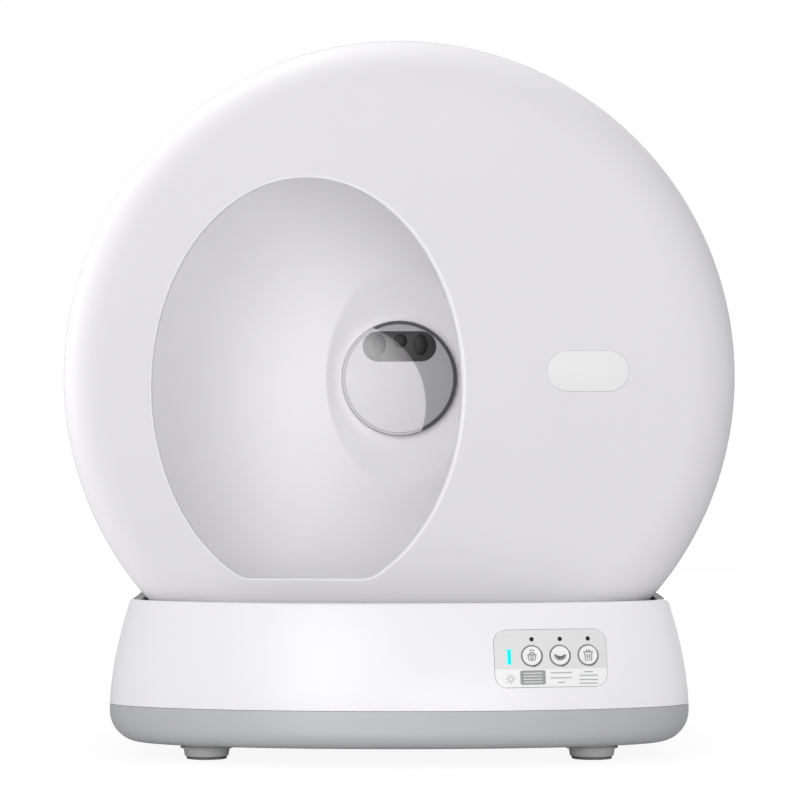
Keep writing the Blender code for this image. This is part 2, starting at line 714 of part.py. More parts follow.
def badge():
    """A bare pill-shaped plate on the face."""
    outline = rounded_rectangle(BADGE_WIDTH, BADGE_HEIGHT, BADGE_HEIGHT / 2)
    depth = FACE_Y - SEAT_GAP - BADGE_THICKNESS / 2
    place = at(BADGE_SHIFT, depth, AXLE_Z + BADGE_RISE, FACING_FRONT)
    return flat_piece("badge_plate", [outline], BADGE_THICKNESS, place, BASE_WHITE)


def sieve(room):
    """A slotted screen across the right side of the drum."""
    reach = DRUM_RADIUS
    place = at(0, 0, AXLE_Z, Matrix.Rotation(-SIEVE_TILT, 4, "Y"))
    low = (SIEVE_DISTANCE, FACE_Y, -reach)
    high = (SIEVE_DISTANCE + SIEVE_THICKNESS, BOWL_END_Y, reach)
    screen = box("sieve_screen", low, high, GREY, place)
    slots = []
    for column in range(SIEVE_COLUMNS):
        start = FACE_Y + DRUM_WALL + SIEVE_MARGIN + column * (SIEVE_SLOT_WIDTH + SIEVE_BAR)
        for row in range(SIEVE_ROWS):
            middle = (row - (SIEVE_ROWS - 1) / 2) * (SIEVE_SLOT_LENGTH + SIEVE_RIB)
            half = SIEVE_SLOT_LENGTH / 2
            slot_low = (SIEVE_DISTANCE - CUT_OVERRUN, start, middle - half)
            slot_high = (SIEVE_DISTANCE + CUT_OVERRUN, start + SIEVE_SLOT_WIDTH, middle + half)
            slots.append(box(f"slot_{column}_{row}", slot_low, slot_high, None))
    carve(screen, room, operation="INTERSECT")
    return carve(screen, several("sieve_slots", slots, place))


def ramp(room):
    """A sloping plate along the top of the drum, from the face down to the port."""
    front = FACE_Y + DRUM_WALL + SEAT_GAP
    end = FACE_Y + RAMP_LENGTH_ALONG
    share = math.sqrt(1 - ((end - BOWL_Y) / BOWL_DEPTH) ** 2)
    wall_radius = BOWL_FLAT_RADIUS + (BOWL_RADIUS - BOWL_FLAT_RADIUS) * share
    end_rise = math.sqrt(wall_radius**2 - RAMP_HALF_WIDTH**2) - RAMP_CLEARANCE
    corners = (
        (front, RAMP_FRONT_RADIUS),
        (end, end_rise - RAMP_THICKNESS),
        (end, end_rise),
        (front, RAMP_FRONT_RADIUS + RAMP_THICKNESS),
    )
    rings = []
    for across in (-RAMP_HALF_WIDTH, RAMP_HALF_WIDTH):
        rings.append([(across, y, AXLE_Z + rise) for y, rise in corners])
    return carve(lofted("waste_ramp", rings, GREY), room, operation="INTERSECT")


def ring_gear():
    """The drum's gear, on the back of the bowl, about the recess."""
    teeth = gear_outline(GEAR_TEETH, GEAR_PITCH_RADIUS, PINION_ANGLE)
    bore = circle(RECESS_HALF_HEIGHT + DRUM_WALL + GEAR_BORE_CLEARANCE, DRUM_STEPS)
    middle = at(0, GEAR_Y + GEAR_WIDTH / 2, AXLE_Z, FACING_FRONT)
    return flat_piece("ring_gear", [teeth, bore], GEAR_WIDTH, middle, GREY)


def bush():
    """The bearing ring in the drum's collar, which runs on the hub tube."""
    outer = COLLAR_RADIUS - SEAT_GAP
    inner = TUBE_RADIUS + SEAT_GAP
    front = -(RECESS_END_Y + DRUM_WALL)
    profile = [(outer, front), (outer, -COLLAR_END_Y), (inner, -COLLAR_END_Y), (inner, front)]
    return turned("hub_bush", profile, at(0, 0, AXLE_Z, FACING_FRONT), GREY, HUB_STEPS)


def drum():
    """Everything that turns with the drum."""
    room = drum_room()
    pieces = [front_shell(), bowl(), entry_trim(), badge(), sieve(room), ramp(room), ring_gear(), bush()]
    ride_on(joint_mark("drum_axis", at(0, 0, AXLE_Z)), *pieces)


def drawer_opening():
    """The hole that the drawer's door fills, through the tray and the base shell."""
    half_width = DRAWER_DOOR_HALF_WIDTH + PANEL_LINE
    top = TRAY_FLOOR_Z + DRAWER_DOOR_HEIGHT + PANEL_LINE
    low = (-half_width, BASE_STRAIGHT, TRAY_FLOOR_Z + SEAT_GAP)
    return box("drawer_opening", low, (half_width, BASE_HALF_DEPTH + CUT_OVERRUN, top), None)


def base_tray(opening):
    """The grey lower tray, rounded in towards the floor."""
    top = SEAM_Z - SEAT_GAP / 2
    outer = base_rings(0, FOOT_HEIGHT, top)
    inner = base_rings(BASE_WALL, TRAY_FLOOR_Z, top)
    outer.append(plan(base_half_width(top), top))
    inner.append(plan(base_half_width(top, BASE_WALL), top))
    return carve(lofted("base_tray", outer + inner[::-1], GREY), opening)


def base_shell(*cuts):
    """The white upper shell, with a flat rim that turns inwards."""
    low = SEAM_Z + SEAT_GAP / 2
    under_rim = RIM_Z - RIM_THICKNESS
    heights = form_heights(low, RIM_Z - RIM_CHAMFER, FORM_STEPS)
    rings = [plan(base_half_width(z), z) for z in heights]
    rings += [plan(RIM_HALF_WIDTH - RIM_CHAMFER, RIM_Z), plan(RIM_HALF_WIDTH - RIM_WIDTH, RIM_Z)]
    rings += [plan(RIM_HALF_WIDTH - RIM_WIDTH, under_rim)]
    heights = form_heights(low, under_rim, FORM_STEPS)
    rings += [plan(base_half_width(z, BASE_WALL), z) for z in heights[::-1]]
    shell = lofted("base_shell", rings, BASE_WHITE, ring_closed=True)
    return carve(shell, *cuts)


def rear_housing():
    """The fixed shell behind the drum: it covers the drive and closes the port at rest."""

    def side(offset):
        span = DRUM_RADIUS - HOUSING_INSET - HOUSING_FLAT_RADIUS - offset
        depth = HOUSING_END_Y - HOUSING_Y - offset
        points = []
        for step in range(BOWL_STEPS + 1):
            angle = math.pi / 2 * step / BOWL_STEPS
            radius = HOUSING_FLAT_RADIUS + span * math.cos(angle)
            points.append((radius, -(HOUSING_Y + depth * math.sin(angle))))
        return points

    profile = [(0, -(HOUSING_END_Y - HOUSING_WALL))] + side(HOUSING_WALL)[::-1]
    profile += side(0) + [(0, -HOUSING_END_Y)]
    shell = turned("rear_housing", profile, at(0, 0, AXLE_Z, FACING_FRONT), WHITE, DRUM_STEPS)
    low = (-DRUM_RADIUS - CUT_OVERRUN, HOUSING_Y - CUT_OVERRUN, -CUT_OVERRUN)
    high = (DRUM_RADIUS + CUT_OVERRUN, HOUSING_END_Y + CUT_OVERRUN, DECK_TOP_Z + SEAT_GAP)
    return carve(shell, box("housing_foot_cut", low, high, None))


def rear_deck(inner_form):
    """The plate under the rim, round the bowl, that carries the housing and the frame."""
    low = (-SEAM_HALF_WIDTH, HOUSING_Y, DECK_Z)
    high = (SEAM_HALF_WIDTH, BASE_HALF_DEPTH, DECK_TOP_Z)
    deck = carve(box("rear_deck", low, high, GREY), inner_form, operation="INTERSECT")
    clear = [(radius, -y) for radius, y in bowl_arc(DRUM_WALL + RUNNING_GAP)]
    profile = [(0, CUT_OVERRUN - BOWL_Y), (clear[0][0], CUT_OVERRUN - BOWL_Y)] + clear + [(0, clear[-1][1])]
    return carve(deck, turned("deck_clearance", profile, at(0, 0, AXLE_Z, FACING_FRONT), None, DRUM_STEPS))


def screw_places(y):
    """The hub screws' places, on a circle about the axle."""
    places = []
    for index in range(SCREW_COUNT):
        angle = 2 * math.pi * (index + 0.5) / SCREW_COUNT
        places.append((SCREW_CIRCLE * math.cos(angle), y, SCREW_CIRCLE * math.sin(angle)))
    return places


def rear_frame():
    """The upright plate that carries the hub tube and the gearbox."""
    foot = DECK_TOP_Z + SEAT_GAP - AXLE_Z
    arm_x = PINION_X - FRAME_ARM_MARGIN
    arm_up = PINION_Z - AXLE_Z
    outline = [
        (FRAME_FOOT_HALF, foot),
        (FRAME_SHOULDER_HALF, -FRAME_SHOULDER_HALF),
        (FRAME_SHOULDER_HALF, 0),
        (FRAME_TOP_HALF, FRAME_TOP_RISE),
        (-FRAME_TOP_HALF, FRAME_TOP_RISE),
        (-FRAME_SHOULDER_HALF, 0),
        (arm_x, arm_up + FRAME_ARM_MARGIN),
        (arm_x, arm_up - FRAME_ARM_MARGIN),
        (-FRAME_FOOT_HALF, foot),
    ]
    holes = [circle(TUBE_RADIUS + SEAT_GAP, HUB_STEPS)]
    holes.append(circle(SHAFT_RADIUS + SEAT_GAP, SMALL_STEPS, PINION_X, arm_up))
    for across, _, up in screw_places(FRAME_Y):
        holes.append(circle(SCREW_RADIUS + SCREW_CLEARANCE, SMALL_STEPS, across, up))
    middle = at(0, FRAME_Y + FRAME_THICKNESS / 2, AXLE_Z, FACING_FRONT)
    return flat_piece("rear_frame", [outline] + holes, FRAME_THICKNESS, middle, GREY)


def hub():
    """The fixed hub: tube, flange screws, ring, disc, sensor window, lenses and board."""
    axis = at(0, 0, AXLE_Z, FACING_FRONT)
    flange_y = FRAME_END_Y + SEAT_GAP
    flange_end = flange_y + FLANGE_THICKNESS
    bore = TUBE_RADIUS - TUBE_WALL
    profile = [
        (TUBE_RADIUS, -TUBE_Y),
        (TUBE_RADIUS, -flange_y),
        (FLANGE_RADIUS, -flange_y),
        (FLANGE_RADIUS, -flange_end),
        (bore, -flange_end),
        (bore, -TUBE_Y),
    ]
    tube = turned("hub_tube", profile, axis, STEEL, HUB_STEPS)
    places = screw_places(flange_end)
    holes = []
    for index, (across, y, up) in enumerate(places):
        start = at(across, flange_y - CUT_OVERRUN / 2, AXLE_Z + up, FACING_FRONT)
        length = FLANGE_THICKNESS + CUT_OVERRUN
        holes.append(cylinder(f"screw_hole_{index}", SCREW_RADIUS + SCREW_CLEARANCE, length, start, None))
    carve(tube, several("screw_holes", holes, UPRIGHT))
    shank = FLANGE_THICKNESS + SEAT_GAP + FRAME_THICKNESS
    for index, (across, y, up) in enumerate(places):
        head = -(y + SEAT_GAP)
        profile = [
            (0, head + SEAT_GAP + shank),
            (SCREW_RADIUS, head + SEAT_GAP + shank),
            (SCREW_RADIUS, head),
            (SCREW_HEAD_RADIUS, head),
            (SCREW_HEAD_RADIUS, head - SCREW_HEAD),
            (0, head - SCREW_HEAD),
        ]
        place = at(across, 0, AXLE_Z + up, FACING_FRONT)
        turned(f"hub_screw_{index + 1}", profile, place, STEEL, SMALL_STEPS)

    ring_front = -(TUBE_Y - SEAT_GAP - HUB_RING_DEPTH)
    ring_bore = HUB_DISC_RADIUS + SEAT_GAP
    profile = [
        (HUB_RING_RADIUS, ring_front),
        (HUB_RING_RADIUS, ring_front - HUB_RING_DEPTH),
        (ring_bore, ring_front - HUB_RING_DEPTH),
        (ring_bore, ring_front),
    ]
    turned("hub_ring", profile, axis, GREY, HUB_STEPS)

    disc_front = TUBE_Y - SEAT_GAP - HUB_DISC_THICKNESS
    front = at(0, disc_front, AXLE_Z, FACING_FRONT)
    disc = cylinder("hub_disc", HUB_DISC_RADIUS, HUB_DISC_THICKNESS, front, WHITE, HUB_STEPS)
    width, height = WINDOW_WIDTH + 2 * SEAT_GAP, WINDOW_HEIGHT + 2 * SEAT_GAP
    pocket_outline = rounded_rectangle(width, height, height / 2)
    middle_z = AXLE_Z + WINDOW_RISE
    pocket_depth = 2 * (WINDOW_THICKNESS + SEAT_GAP)
    pocket_middle = at(0, disc_front, middle_z, FACING_FRONT)
    pocket = flat_piece("window_pocket", [pocket_outline], pocket_depth, pocket_middle, None)
    window_outline = rounded_rectangle(WINDOW_WIDTH, WINDOW_HEIGHT, WINDOW_HEIGHT / 2)
    window_middle = at(0, disc_front + WINDOW_THICKNESS / 2, middle_z, FACING_FRONT)
    window = flat_piece("sensor_window", [window_outline], WINDOW_THICKNESS, window_middle, DARK)
    board_y = TUBE_Y + SENSOR_BOARD_GAP
    bores = []
    for name, shift, rise in zip(("left", "middle", "right"), LENS_SHIFTS, (0, LENS_RISE, 0)):
        place = at(shift, disc_front, middle_z + rise, FACING_FRONT)
        start = place @ Matrix.Translation((0, 0, CUT_OVERRUN / 2))
        bore_radius = LENS_BARREL_RADIUS + SEAT_GAP
        bores.append(cylinder(f"lens_bore_{name}", bore_radius, 2 * CUT_OVERRUN, start, None))
        barrel_end = -(board_y - SEAT_GAP - disc_front)
        profile = [
            (0, SEAT_GAP + LENS_CROWN),
            (LENS_RADIUS / 2, SEAT_GAP + LENS_CROWN * LENS_SHOULDER_SHARE),
            (LENS_RADIUS, SEAT_GAP + LENS_CROWN * LENS_EDGE_SHARE),
            (LENS_RADIUS, SEAT_GAP),
            (LENS_BARREL_RADIUS, SEAT_GAP),
            (LENS_BARREL_RADIUS, barrel_end),
            (0, barrel_end),
        ]
        turned(f"lens_{name}", profile, place, DARK, SMALL_STEPS)
    lens_bores = several("lens_bores", bores, UPRIGHT)
    carve(disc, pocket, lens_bores)
    carve(window, lens_bores)
    board_radius = TUBE_RADIUS - TUBE_WALL - SEAT_GAP
    board_front = at(0, board_y, AXLE_Z, FACING_FRONT)
    cylinder("sensor_board", board_radius, BOARD_THICKNESS, board_front, BOARD, HUB_STEPS)


def drive():
    """Motor, gearbox, shaft and pinion, on the frame's arm."""
    gearbox_y = FRAME_END_Y + SEAT_GAP
    half = GEARBOX_SIDE / 2
    low = (PINION_X - half, gearbox_y, PINION_Z - half)
    box("gearbox", low, (PINION_X + half, gearbox_y + GEARBOX_DEPTH, PINION_Z + half), GREY)
    motor_top = PINION_Z + half + SEAT_GAP + MOTOR_LENGTH
    motor_y = gearbox_y + GEARBOX_DEPTH / 2 + (2 * MOTOR_RADIUS - GEARBOX_DEPTH) / 2
    cylinder("motor", MOTOR_RADIUS, MOTOR_LENGTH, at(PINION_X, motor_y, motor_top), STEEL, ROUND_STEPS)
    tooth_turn = math.pi + math.pi / PINION_TEETH
    teeth = gear_outline(PINION_TEETH, PINION_PITCH_RADIUS, PINION_ANGLE + tooth_turn)
    middle = at(PINION_X, GEAR_Y + GEAR_WIDTH / 2, PINION_Z, FACING_FRONT)
    pinion = flat_piece("drive_pinion", [teeth, circle(SHAFT_RADIUS + SEAT_GAP)], GEAR_WIDTH, middle, GREY)
    nose = GEAR_Y - SHAFT_NOSE
    length = gearbox_y - SEAT_GAP - nose
    shaft = cylinder("drive_shaft", SHAFT_RADIUS, length, at(PINION_X, nose, PINION_Z, FACING_FRONT), STEEL)
    ride_on(joint_mark("pinion_axis", at(PINION_X, 0, PINION_Z)), pinion, shaft)


def roller(side, name):
    """One front roller with its axle and bracket, under the drum's band."""
    x = side * ROLLER_X
    half = ROLLER_WIDTH / 2
    bore = ROLLER_AXLE_RADIUS + SEAT_GAP
    profile = [
        (ROLLER_RADIUS - ROLLER_EDGE, half),
        (ROLLER_RADIUS, half - ROLLER_EDGE),
        (ROLLER_RADIUS, -half + ROLLER_EDGE),
        (ROLLER_RADIUS - ROLLER_EDGE, -half),
        (bore, -half),
        (bore, half),
    ]
    turned(f"roller_{name}", profile, at(x, ROLLER_Y, ROLLER_Z, FACING_FRONT), RUBBER, ROUND_STEPS)
    half_depth = half + BRACKET_SIDE_GAP + BRACKET_EAR
    start = at(x, ROLLER_Y - half_depth, ROLLER_Z, FACING_FRONT)
    cylinder(f"roller_axle_{name}", ROLLER_AXLE_RADIUS, 2 * half_depth, start, STEEL)
    floor = TRAY_FLOOR_Z + SEAT_GAP
    shoulder = floor + BRACKET_FOOT_HEIGHT
    top = ROLLER_Z + BRACKET_TOP_RISE
    outline = [
        (-BRACKET_FOOT_HALF, floor),
        (BRACKET_FOOT_HALF, floor),
        (BRACKET_FOOT_HALF, shoulder),
        (BRACKET_HALF_WIDTH, shoulder),
        (BRACKET_HALF_WIDTH, top),
        (-BRACKET_HALF_WIDTH, top),
        (-BRACKET_HALF_WIDTH, shoulder),
        (-BRACKET_FOOT_HALF, shoulder),
    ]
    middle = at(x, ROLLER_Y, 0, FACING_FRONT)
    bracket = flat_piece(f"roller_bracket_{name}", [outline], 2 * half_depth, middle, GREY)
    gap = half + BRACKET_SIDE_GAP
    low = (x - BRACKET_HALF_WIDTH - CUT_OVERRUN, ROLLER_Y - gap, ROLLER_Z - ROLLER_RADIUS - BRACKET_EAR)
    high = (x + BRACKET_HALF_WIDTH + CUT_OVERRUN, ROLLER_Y + gap, top + CUT_OVERRUN)
    slot = box(f"roller_slot_{name}", low, high, None)
    hole_start = at(x, ROLLER_Y - half_depth - CUT_OVERRUN, ROLLER_Z, FACING_FRONT)
    hole = cylinder(f"axle_hole_{name}", bore, 2 * (half_depth + CUT_OVERRUN), hole_start, None)
    carve(bracket, slot, hole)


def feet():
    """Four round feet with rubber pads under the tray."""
    for end, end_name in ((-1, "front"), (1, "rear")):
        for side, side_name in ((-1, "left"), (1, "right")):
            place = at(side * FOOT_X, end * FOOT_Y, 0)
            top = FOOT_HEIGHT - SEAT_GAP
            bottom = PAD_THICKNESS + SEAT_GAP
            profile = [
                (0, top),
                (FOOT_FLANGE_RADIUS, top),
                (FOOT_FLANGE_RADIUS, top - FOOT_FLANGE),
                (FOOT_TOP_RADIUS, top - FOOT_FLANGE),
                (FOOT_END_RADIUS, bottom),
                (0, bottom),
            ]
            turned(f"foot_{end_name}_{side_name}", profile, place, GREY, ROUND_STEPS)
            pad_name = f"foot_pad_{end_name}_{side_name}"
            pad_top = at(side * FOOT_X, end * FOOT_Y, PAD_THICKNESS)
            cylinder(pad_name, PAD_RADIUS, PAD_THICKNESS, pad_top, RUBBER, ROUND_STEPS)


def panel_shapes():
    """The window behind the panel and the shallow pocket that the panel fills."""
    place = on_panel()
    depth = 2 * (BASE_WALL + CUT_OVERRUN)

    def outline(margin):
        width, height = PANEL_WIDTH + 2 * margin, PANEL_HEIGHT + 2 * margin
        return rounded_rectangle(width, height, PANEL_CORNER + margin)

    window = flat_piece("panel_window", [outline(-PANEL_LEDGE)], depth, place, None)
    pocket = flat_piece("panel_pocket", [outline(SEAT_GAP)], depth, place, None)
    carve(pocket, base_form("panel_pocket_floor", PANEL_THICKNESS + SEAT_GAP))
    return window, pocket


def control_panel(wall_form):
    """The panel with its light bar, lamps and three buttons, and the board behind it."""
    place = on_panel()
    depth = 2 * (BASE_WALL + CUT_OVERRUN)
    outline = rounded_rectangle(PANEL_WIDTH, PANEL_HEIGHT, PANEL_CORNER)
    panel = flat_piece("control_panel", [outline], depth, place, WHITE)
    outside = base_form("panel_surface", -PANEL_PROUD)
    carve(panel, outside, operation="INTERSECT")
    carve(panel, base_form("panel_back", PANEL_THICKNESS))

    board_depth = BASE_WALL + PANEL_BOARD_DEPTH
    cuts = []
    for index, name in enumerate(("clean", "level", "empty")):
        across = BUTTON_SHIFT + (index - 1) * BUTTON_SPACING
        button_place = on_panel(across, BUTTON_RISE)
        start = button_place @ Matrix.Translation((0, 0, CUT_OVERRUN))
        hole_radius = BUTTON_RADIUS + BUTTON_GAP
        hole = cylinder(f"button_hole_{name}", hole_radius, 2 * CUT_OVERRUN, start, None, ROUND_STEPS)
        cuts.append(hole)
        lamp_place = on_panel(across, LAMP_RISE)
        start = lamp_place @ Matrix.Translation((0, 0, CUT_OVERRUN))
        cuts.append(cylinder(f"lamp_hole_{name}", LAMP_RADIUS + SEAT_GAP, 2 * CUT_OVERRUN, start, None))
        start = lamp_place @ Matrix.Translation((0, 0, PANEL_PROUD))
        cylinder(f"lamp_{name}", LAMP_RADIUS, LAMP_DEPTH, start, DARK)
        out = button_place.to_3x3() @ Vector((0, 0, 1))
        board_normal = place.to_3x3() @ Vector((0, 0, 1))
        board_point = place @ Vector((0, 0, -board_depth))
        reach = (button_place.translation - board_point).dot(board_normal) / out.dot(board_normal)
        flange_top = -PANEL_THICKNESS - BUTTON_GAP
        profile = [
            (0, BUTTON_PROUD),
            (BUTTON_RADIUS - BUTTON_EDGE, BUTTON_PROUD),
            (BUTTON_RADIUS, BUTTON_PROUD - BUTTON_EDGE),
            (BUTTON_RADIUS, flange_top - BUTTON_FLANGE / 2),
            (BUTTON_FLANGE_RADIUS, flange_top - BUTTON_FLANGE / 2),
            (BUTTON_FLANGE_RADIUS, flange_top - 3 * BUTTON_FLANGE / 2),
            (BUTTON_STEM_RADIUS, flange_top - 3 * BUTTON_FLANGE / 2),
            (BUTTON_STEM_RADIUS, BUTTON_TRAVEL + BUTTON_GAP - reach),
            (0, BUTTON_TRAVEL + BUTTON_GAP - reach),
        ]
        turned(f"button_{name}", profile, button_place, WHITE, ROUND_STEPS)

    bar_place = on_panel(BAR_SHIFT, BAR_RISE)
    half_width, half_height = BAR_WIDTH / 2, BAR_HEIGHT / 2
    hole_high = Vector((half_width + SEAT_GAP, half_height + SEAT_GAP, CUT_OVERRUN))
    cuts.append(box("bar_hole", -hole_high, hole_high, None, bar_place))
    bar_low = (-half_width, -half_height, -LAMP_DEPTH)
    bar = box("light_bar", bar_low, (half_width, half_height, PANEL_THICKNESS), LAMP, bar_place)
    carve(bar, outside, operation="INTERSECT")
    carve(panel, several("panel_holes", cuts, UPRIGHT))

    half_width, half_height = PANEL_BOARD_WIDTH / 2, PANEL_BOARD_HEIGHT / 2
    low = (-half_width, -half_height, -board_depth - BOARD_THICKNESS)
    board = box("panel_board", low, (half_width, half_height, -board_depth), BOARD, place)
    for index, (side, end) in enumerate(((-1, -1), (1, -1), (1, 1), (-1, 1))):
        across = side * (half_width - PANEL_POST_INSET)
        up = end * (half_height - PANEL_POST_INSET)
        post_place = place @ Matrix.Translation((across, up, CUT_OVERRUN))
        length = CUT_OVERRUN + board_depth + BOARD_THICKNESS / 2
        post = cylinder(f"panel_post_{index}", PANEL_POST_RADIUS, length, post_place, None)
        carve(board, post, operation="UNION")
    carve(board, wall_form, operation="INTERSECT")


def waste_drawer(wall_form):
    """The bin and its door, which slide out at the back, and the rails they run on."""
    start = FACE_Y + DRAWER_FRONT_DEPTH
    floor = TRAY_FLOOR_Z + SEAT_GAP + RAIL_LIP_HEIGHT + SEAT_GAP
    top = floor + DRAWER_HIGH_HEIGHT
    behind = BASE_HALF_DEPTH + CUT_OVERRUN
    low = (-DRAWER_HALF_WIDTH, start, floor)
    bin_box = box("waste_drawer", low, (DRAWER_HALF_WIDTH, behind, top), GREY)
    carve(bin_box, wall_form, operation="INTERSECT")
    inside_low = (-DRAWER_HALF_WIDTH + DRAWER_WALL, start + DRAWER_WALL, floor + DRAWER_WALL)
    inside_high = (DRAWER_HALF_WIDTH - DRAWER_WALL, behind, top + CUT_OVERRUN)
    inside = box("drawer_inside", inside_low, inside_high, None)
    end_inset = BASE_WALL + SEAT_GAP + DRAWER_WALL
    inside_end = base_form("drawer_inside_end", end_inset, TRAY_FLOOR_Z + BASE_WALL)
    carve(inside, inside_end, operation="INTERSECT")
    slope_end = start + DRAWER_SLOPE_LENGTH
    above = top + CUT_OVERRUN
    rings = []
    for across in (-DRAWER_HALF_WIDTH - CUT_OVERRUN, DRAWER_HALF_WIDTH + CUT_OVERRUN):
        slope = (DRAWER_HIGH_HEIGHT - DRAWER_LOW_HEIGHT) / DRAWER_SLOPE_LENGTH
        corners = (
            (start - CUT_OVERRUN, floor + DRAWER_LOW_HEIGHT - slope * CUT_OVERRUN),
            (slope_end + CUT_OVERRUN, top + slope * CUT_OVERRUN),
            (slope_end + CUT_OVERRUN, above + slope * CUT_OVERRUN),
            (start - CUT_OVERRUN, above + slope * CUT_OVERRUN),
        )
        rings.append([(across, y, z) for y, z in corners])
    carve(bin_box, inside, lofted("drawer_slope", rings, None))

    door_top = TRAY_FLOOR_Z + DRAWER_DOOR_HEIGHT
    door_low = (-DRAWER_DOOR_HALF_WIDTH, BASE_STRAIGHT, TRAY_FLOOR_Z + SEAT_GAP + PANEL_LINE)
    door = box("drawer_door", door_low, (DRAWER_DOOR_HALF_WIDTH, behind, door_top), BASE_WHITE)
    grip_width = 2 * DRAWER_GRIP_HALF_WIDTH
    grip_outline = rounded_rectangle(grip_width, DRAWER_GRIP_HEIGHT, DRAWER_GRIP_HEIGHT / 2)
    grip_z = door_top - DRAWER_GRIP_DROP - DRAWER_GRIP_HEIGHT / 2
    grip_middle = at(0, BASE_HALF_DEPTH, grip_z, FACING_FRONT)
    carve(door, flat_piece("grip_cut", [grip_outline], BASE_HALF_DEPTH, grip_middle, None))
    carve(door, base_form("door_outside", 0), operation="INTERSECT")
    carve(door, base_form("door_inside", BASE_WALL, TRAY_FLOOR_Z, RIM_Z + CUT_OVERRUN))
    ride_on(joint_mark("drawer_axis", at(0, start, floor)), bin_box, door)

    rail_low = TRAY_FLOOR_Z + SEAT_GAP
    inner = DRAWER_HALF_WIDTH - RAIL_LIP
    outer = DRAWER_HALF_WIDTH + PANEL_LINE + RAIL_WIDTH
    wall = DRAWER_HALF_WIDTH + PANEL_LINE
    rail_end = -base_front(outer, rail_low, BASE_WALL) - RAIL_END_GAP
    for side, name in ((-1, "left"), (1, "right")):
        outline = [
            (side * inner, rail_low),
            (side * outer, rail_low),
            (side * outer, rail_low + RAIL_HEIGHT),
            (side * wall, rail_low + RAIL_HEIGHT),
            (side * wall, rail_low + RAIL_LIP_HEIGHT),
            (side * inner, rail_low + RAIL_LIP_HEIGHT),
        ]
        middle = at(0, (start + rail_end) / 2, 0, FACING_FRONT)
        flat_piece(f"drawer_rail_{name}", [outline], rail_end - start, middle, STEEL)


def main_board():
    """The control board beside the drawer, on four posts."""
    floor = TRAY_FLOOR_Z + SEAT_GAP
    wall_x = base_half_width(floor + MAIN_BOARD_RISE, BASE_WALL)
    start_x = wall_x - MAIN_BOARD_GAP - MAIN_BOARD_WIDTH
    start_y = BASE_STRAIGHT - MAIN_BOARD_INSET - MAIN_BOARD_LENGTH
    low = Vector((start_x, start_y, floor + MAIN_BOARD_RISE))
    high = low + Vector((MAIN_BOARD_WIDTH, MAIN_BOARD_LENGTH, BOARD_THICKNESS))
    board = box("main_board", low, high, BOARD)
    for index, (side, end) in enumerate(((0, 0), (1, 0), (1, 1), (0, 1))):
        x = start_x + MAIN_POST_INSET + side * (MAIN_BOARD_WIDTH - 2 * MAIN_POST_INSET)
        y = start_y + MAIN_POST_INSET + end * (MAIN_BOARD_LENGTH - 2 * MAIN_POST_INSET)
        top = floor + MAIN_BOARD_RISE + BOARD_THICKNESS / 2
        post = cylinder(f"main_post_{index}", MAIN_POST_RADIUS, top - floor, at(x, y, top), None)
        carve(board, post, operation="UNION")


def power_inlet():
    """The round power socket in the left side of the base; returns its hole and its flat seat."""
    z = SEAM_Z + INLET_RISE
    surface_x = -base_half_width(z)
    front = surface_x - SEAT_GAP
    place = at(front, BASE_STRAIGHT - INLET_INSET, z, FACING_LEFT)
    profile = [
        (0, -INLET_BORE_DEPTH),
        (INLET_BORE_RADIUS, -INLET_BORE_DEPTH),
        (INLET_BORE_RADIUS, INLET_FLANGE),
        (INLET_FLANGE_RADIUS, INLET_FLANGE),
        (INLET_FLANGE_RADIUS, 0),
        (INLET_RADIUS, 0),
        (INLET_RADIUS, -INLET_LENGTH),
        (0, -INLET_LENGTH),
    ]
    turned("power_inlet", profile, place, DARK, ROUND_STEPS)
    start = place @ Matrix.Translation((0, 0, CUT_OVERRUN))
    depth = 2 * CUT_OVERRUN + BASE_WALL
    hole = cylinder("inlet_hole", INLET_RADIUS + SEAT_GAP, depth, start, None, ROUND_STEPS)
    half = INLET_FLANGE_RADIUS + PANEL_LINE
    flat = box("inlet_flat", (-half, -half, -SEAT_GAP), (half, half, CUT_OVERRUN), None, place)
    return hole, flat


def main():
    """Build the object in a scene emptied of objects."""
    for leftover in list(bpy.data.objects):
        bpy.data.objects.remove(leftover)
    for name in ("litter_box", "cutters"):
        collection = bpy.data.collections.new(name)
        bpy.context.scene.collection.children.link(collection)

    drum()
    opening = drawer_opening()
    wall_form = base_form("base_inside", BASE_WALL + SEAT_GAP, TRAY_FLOOR_Z, DECK_TOP_Z + CUT_OVERRUN)
    window, pocket = panel_shapes()
    base_tray(opening)
    base_shell(opening, window, pocket, *power_inlet())
    rear_housing()
    rear_deck(wall_form)
    rear_frame()
    hub()
    drive()
    roller(-1, "left")
    roller(1, "right")
    feet()
    control_panel(wall_form)
    waste_drawer(wall_form)
    main_board()


main()
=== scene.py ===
import math

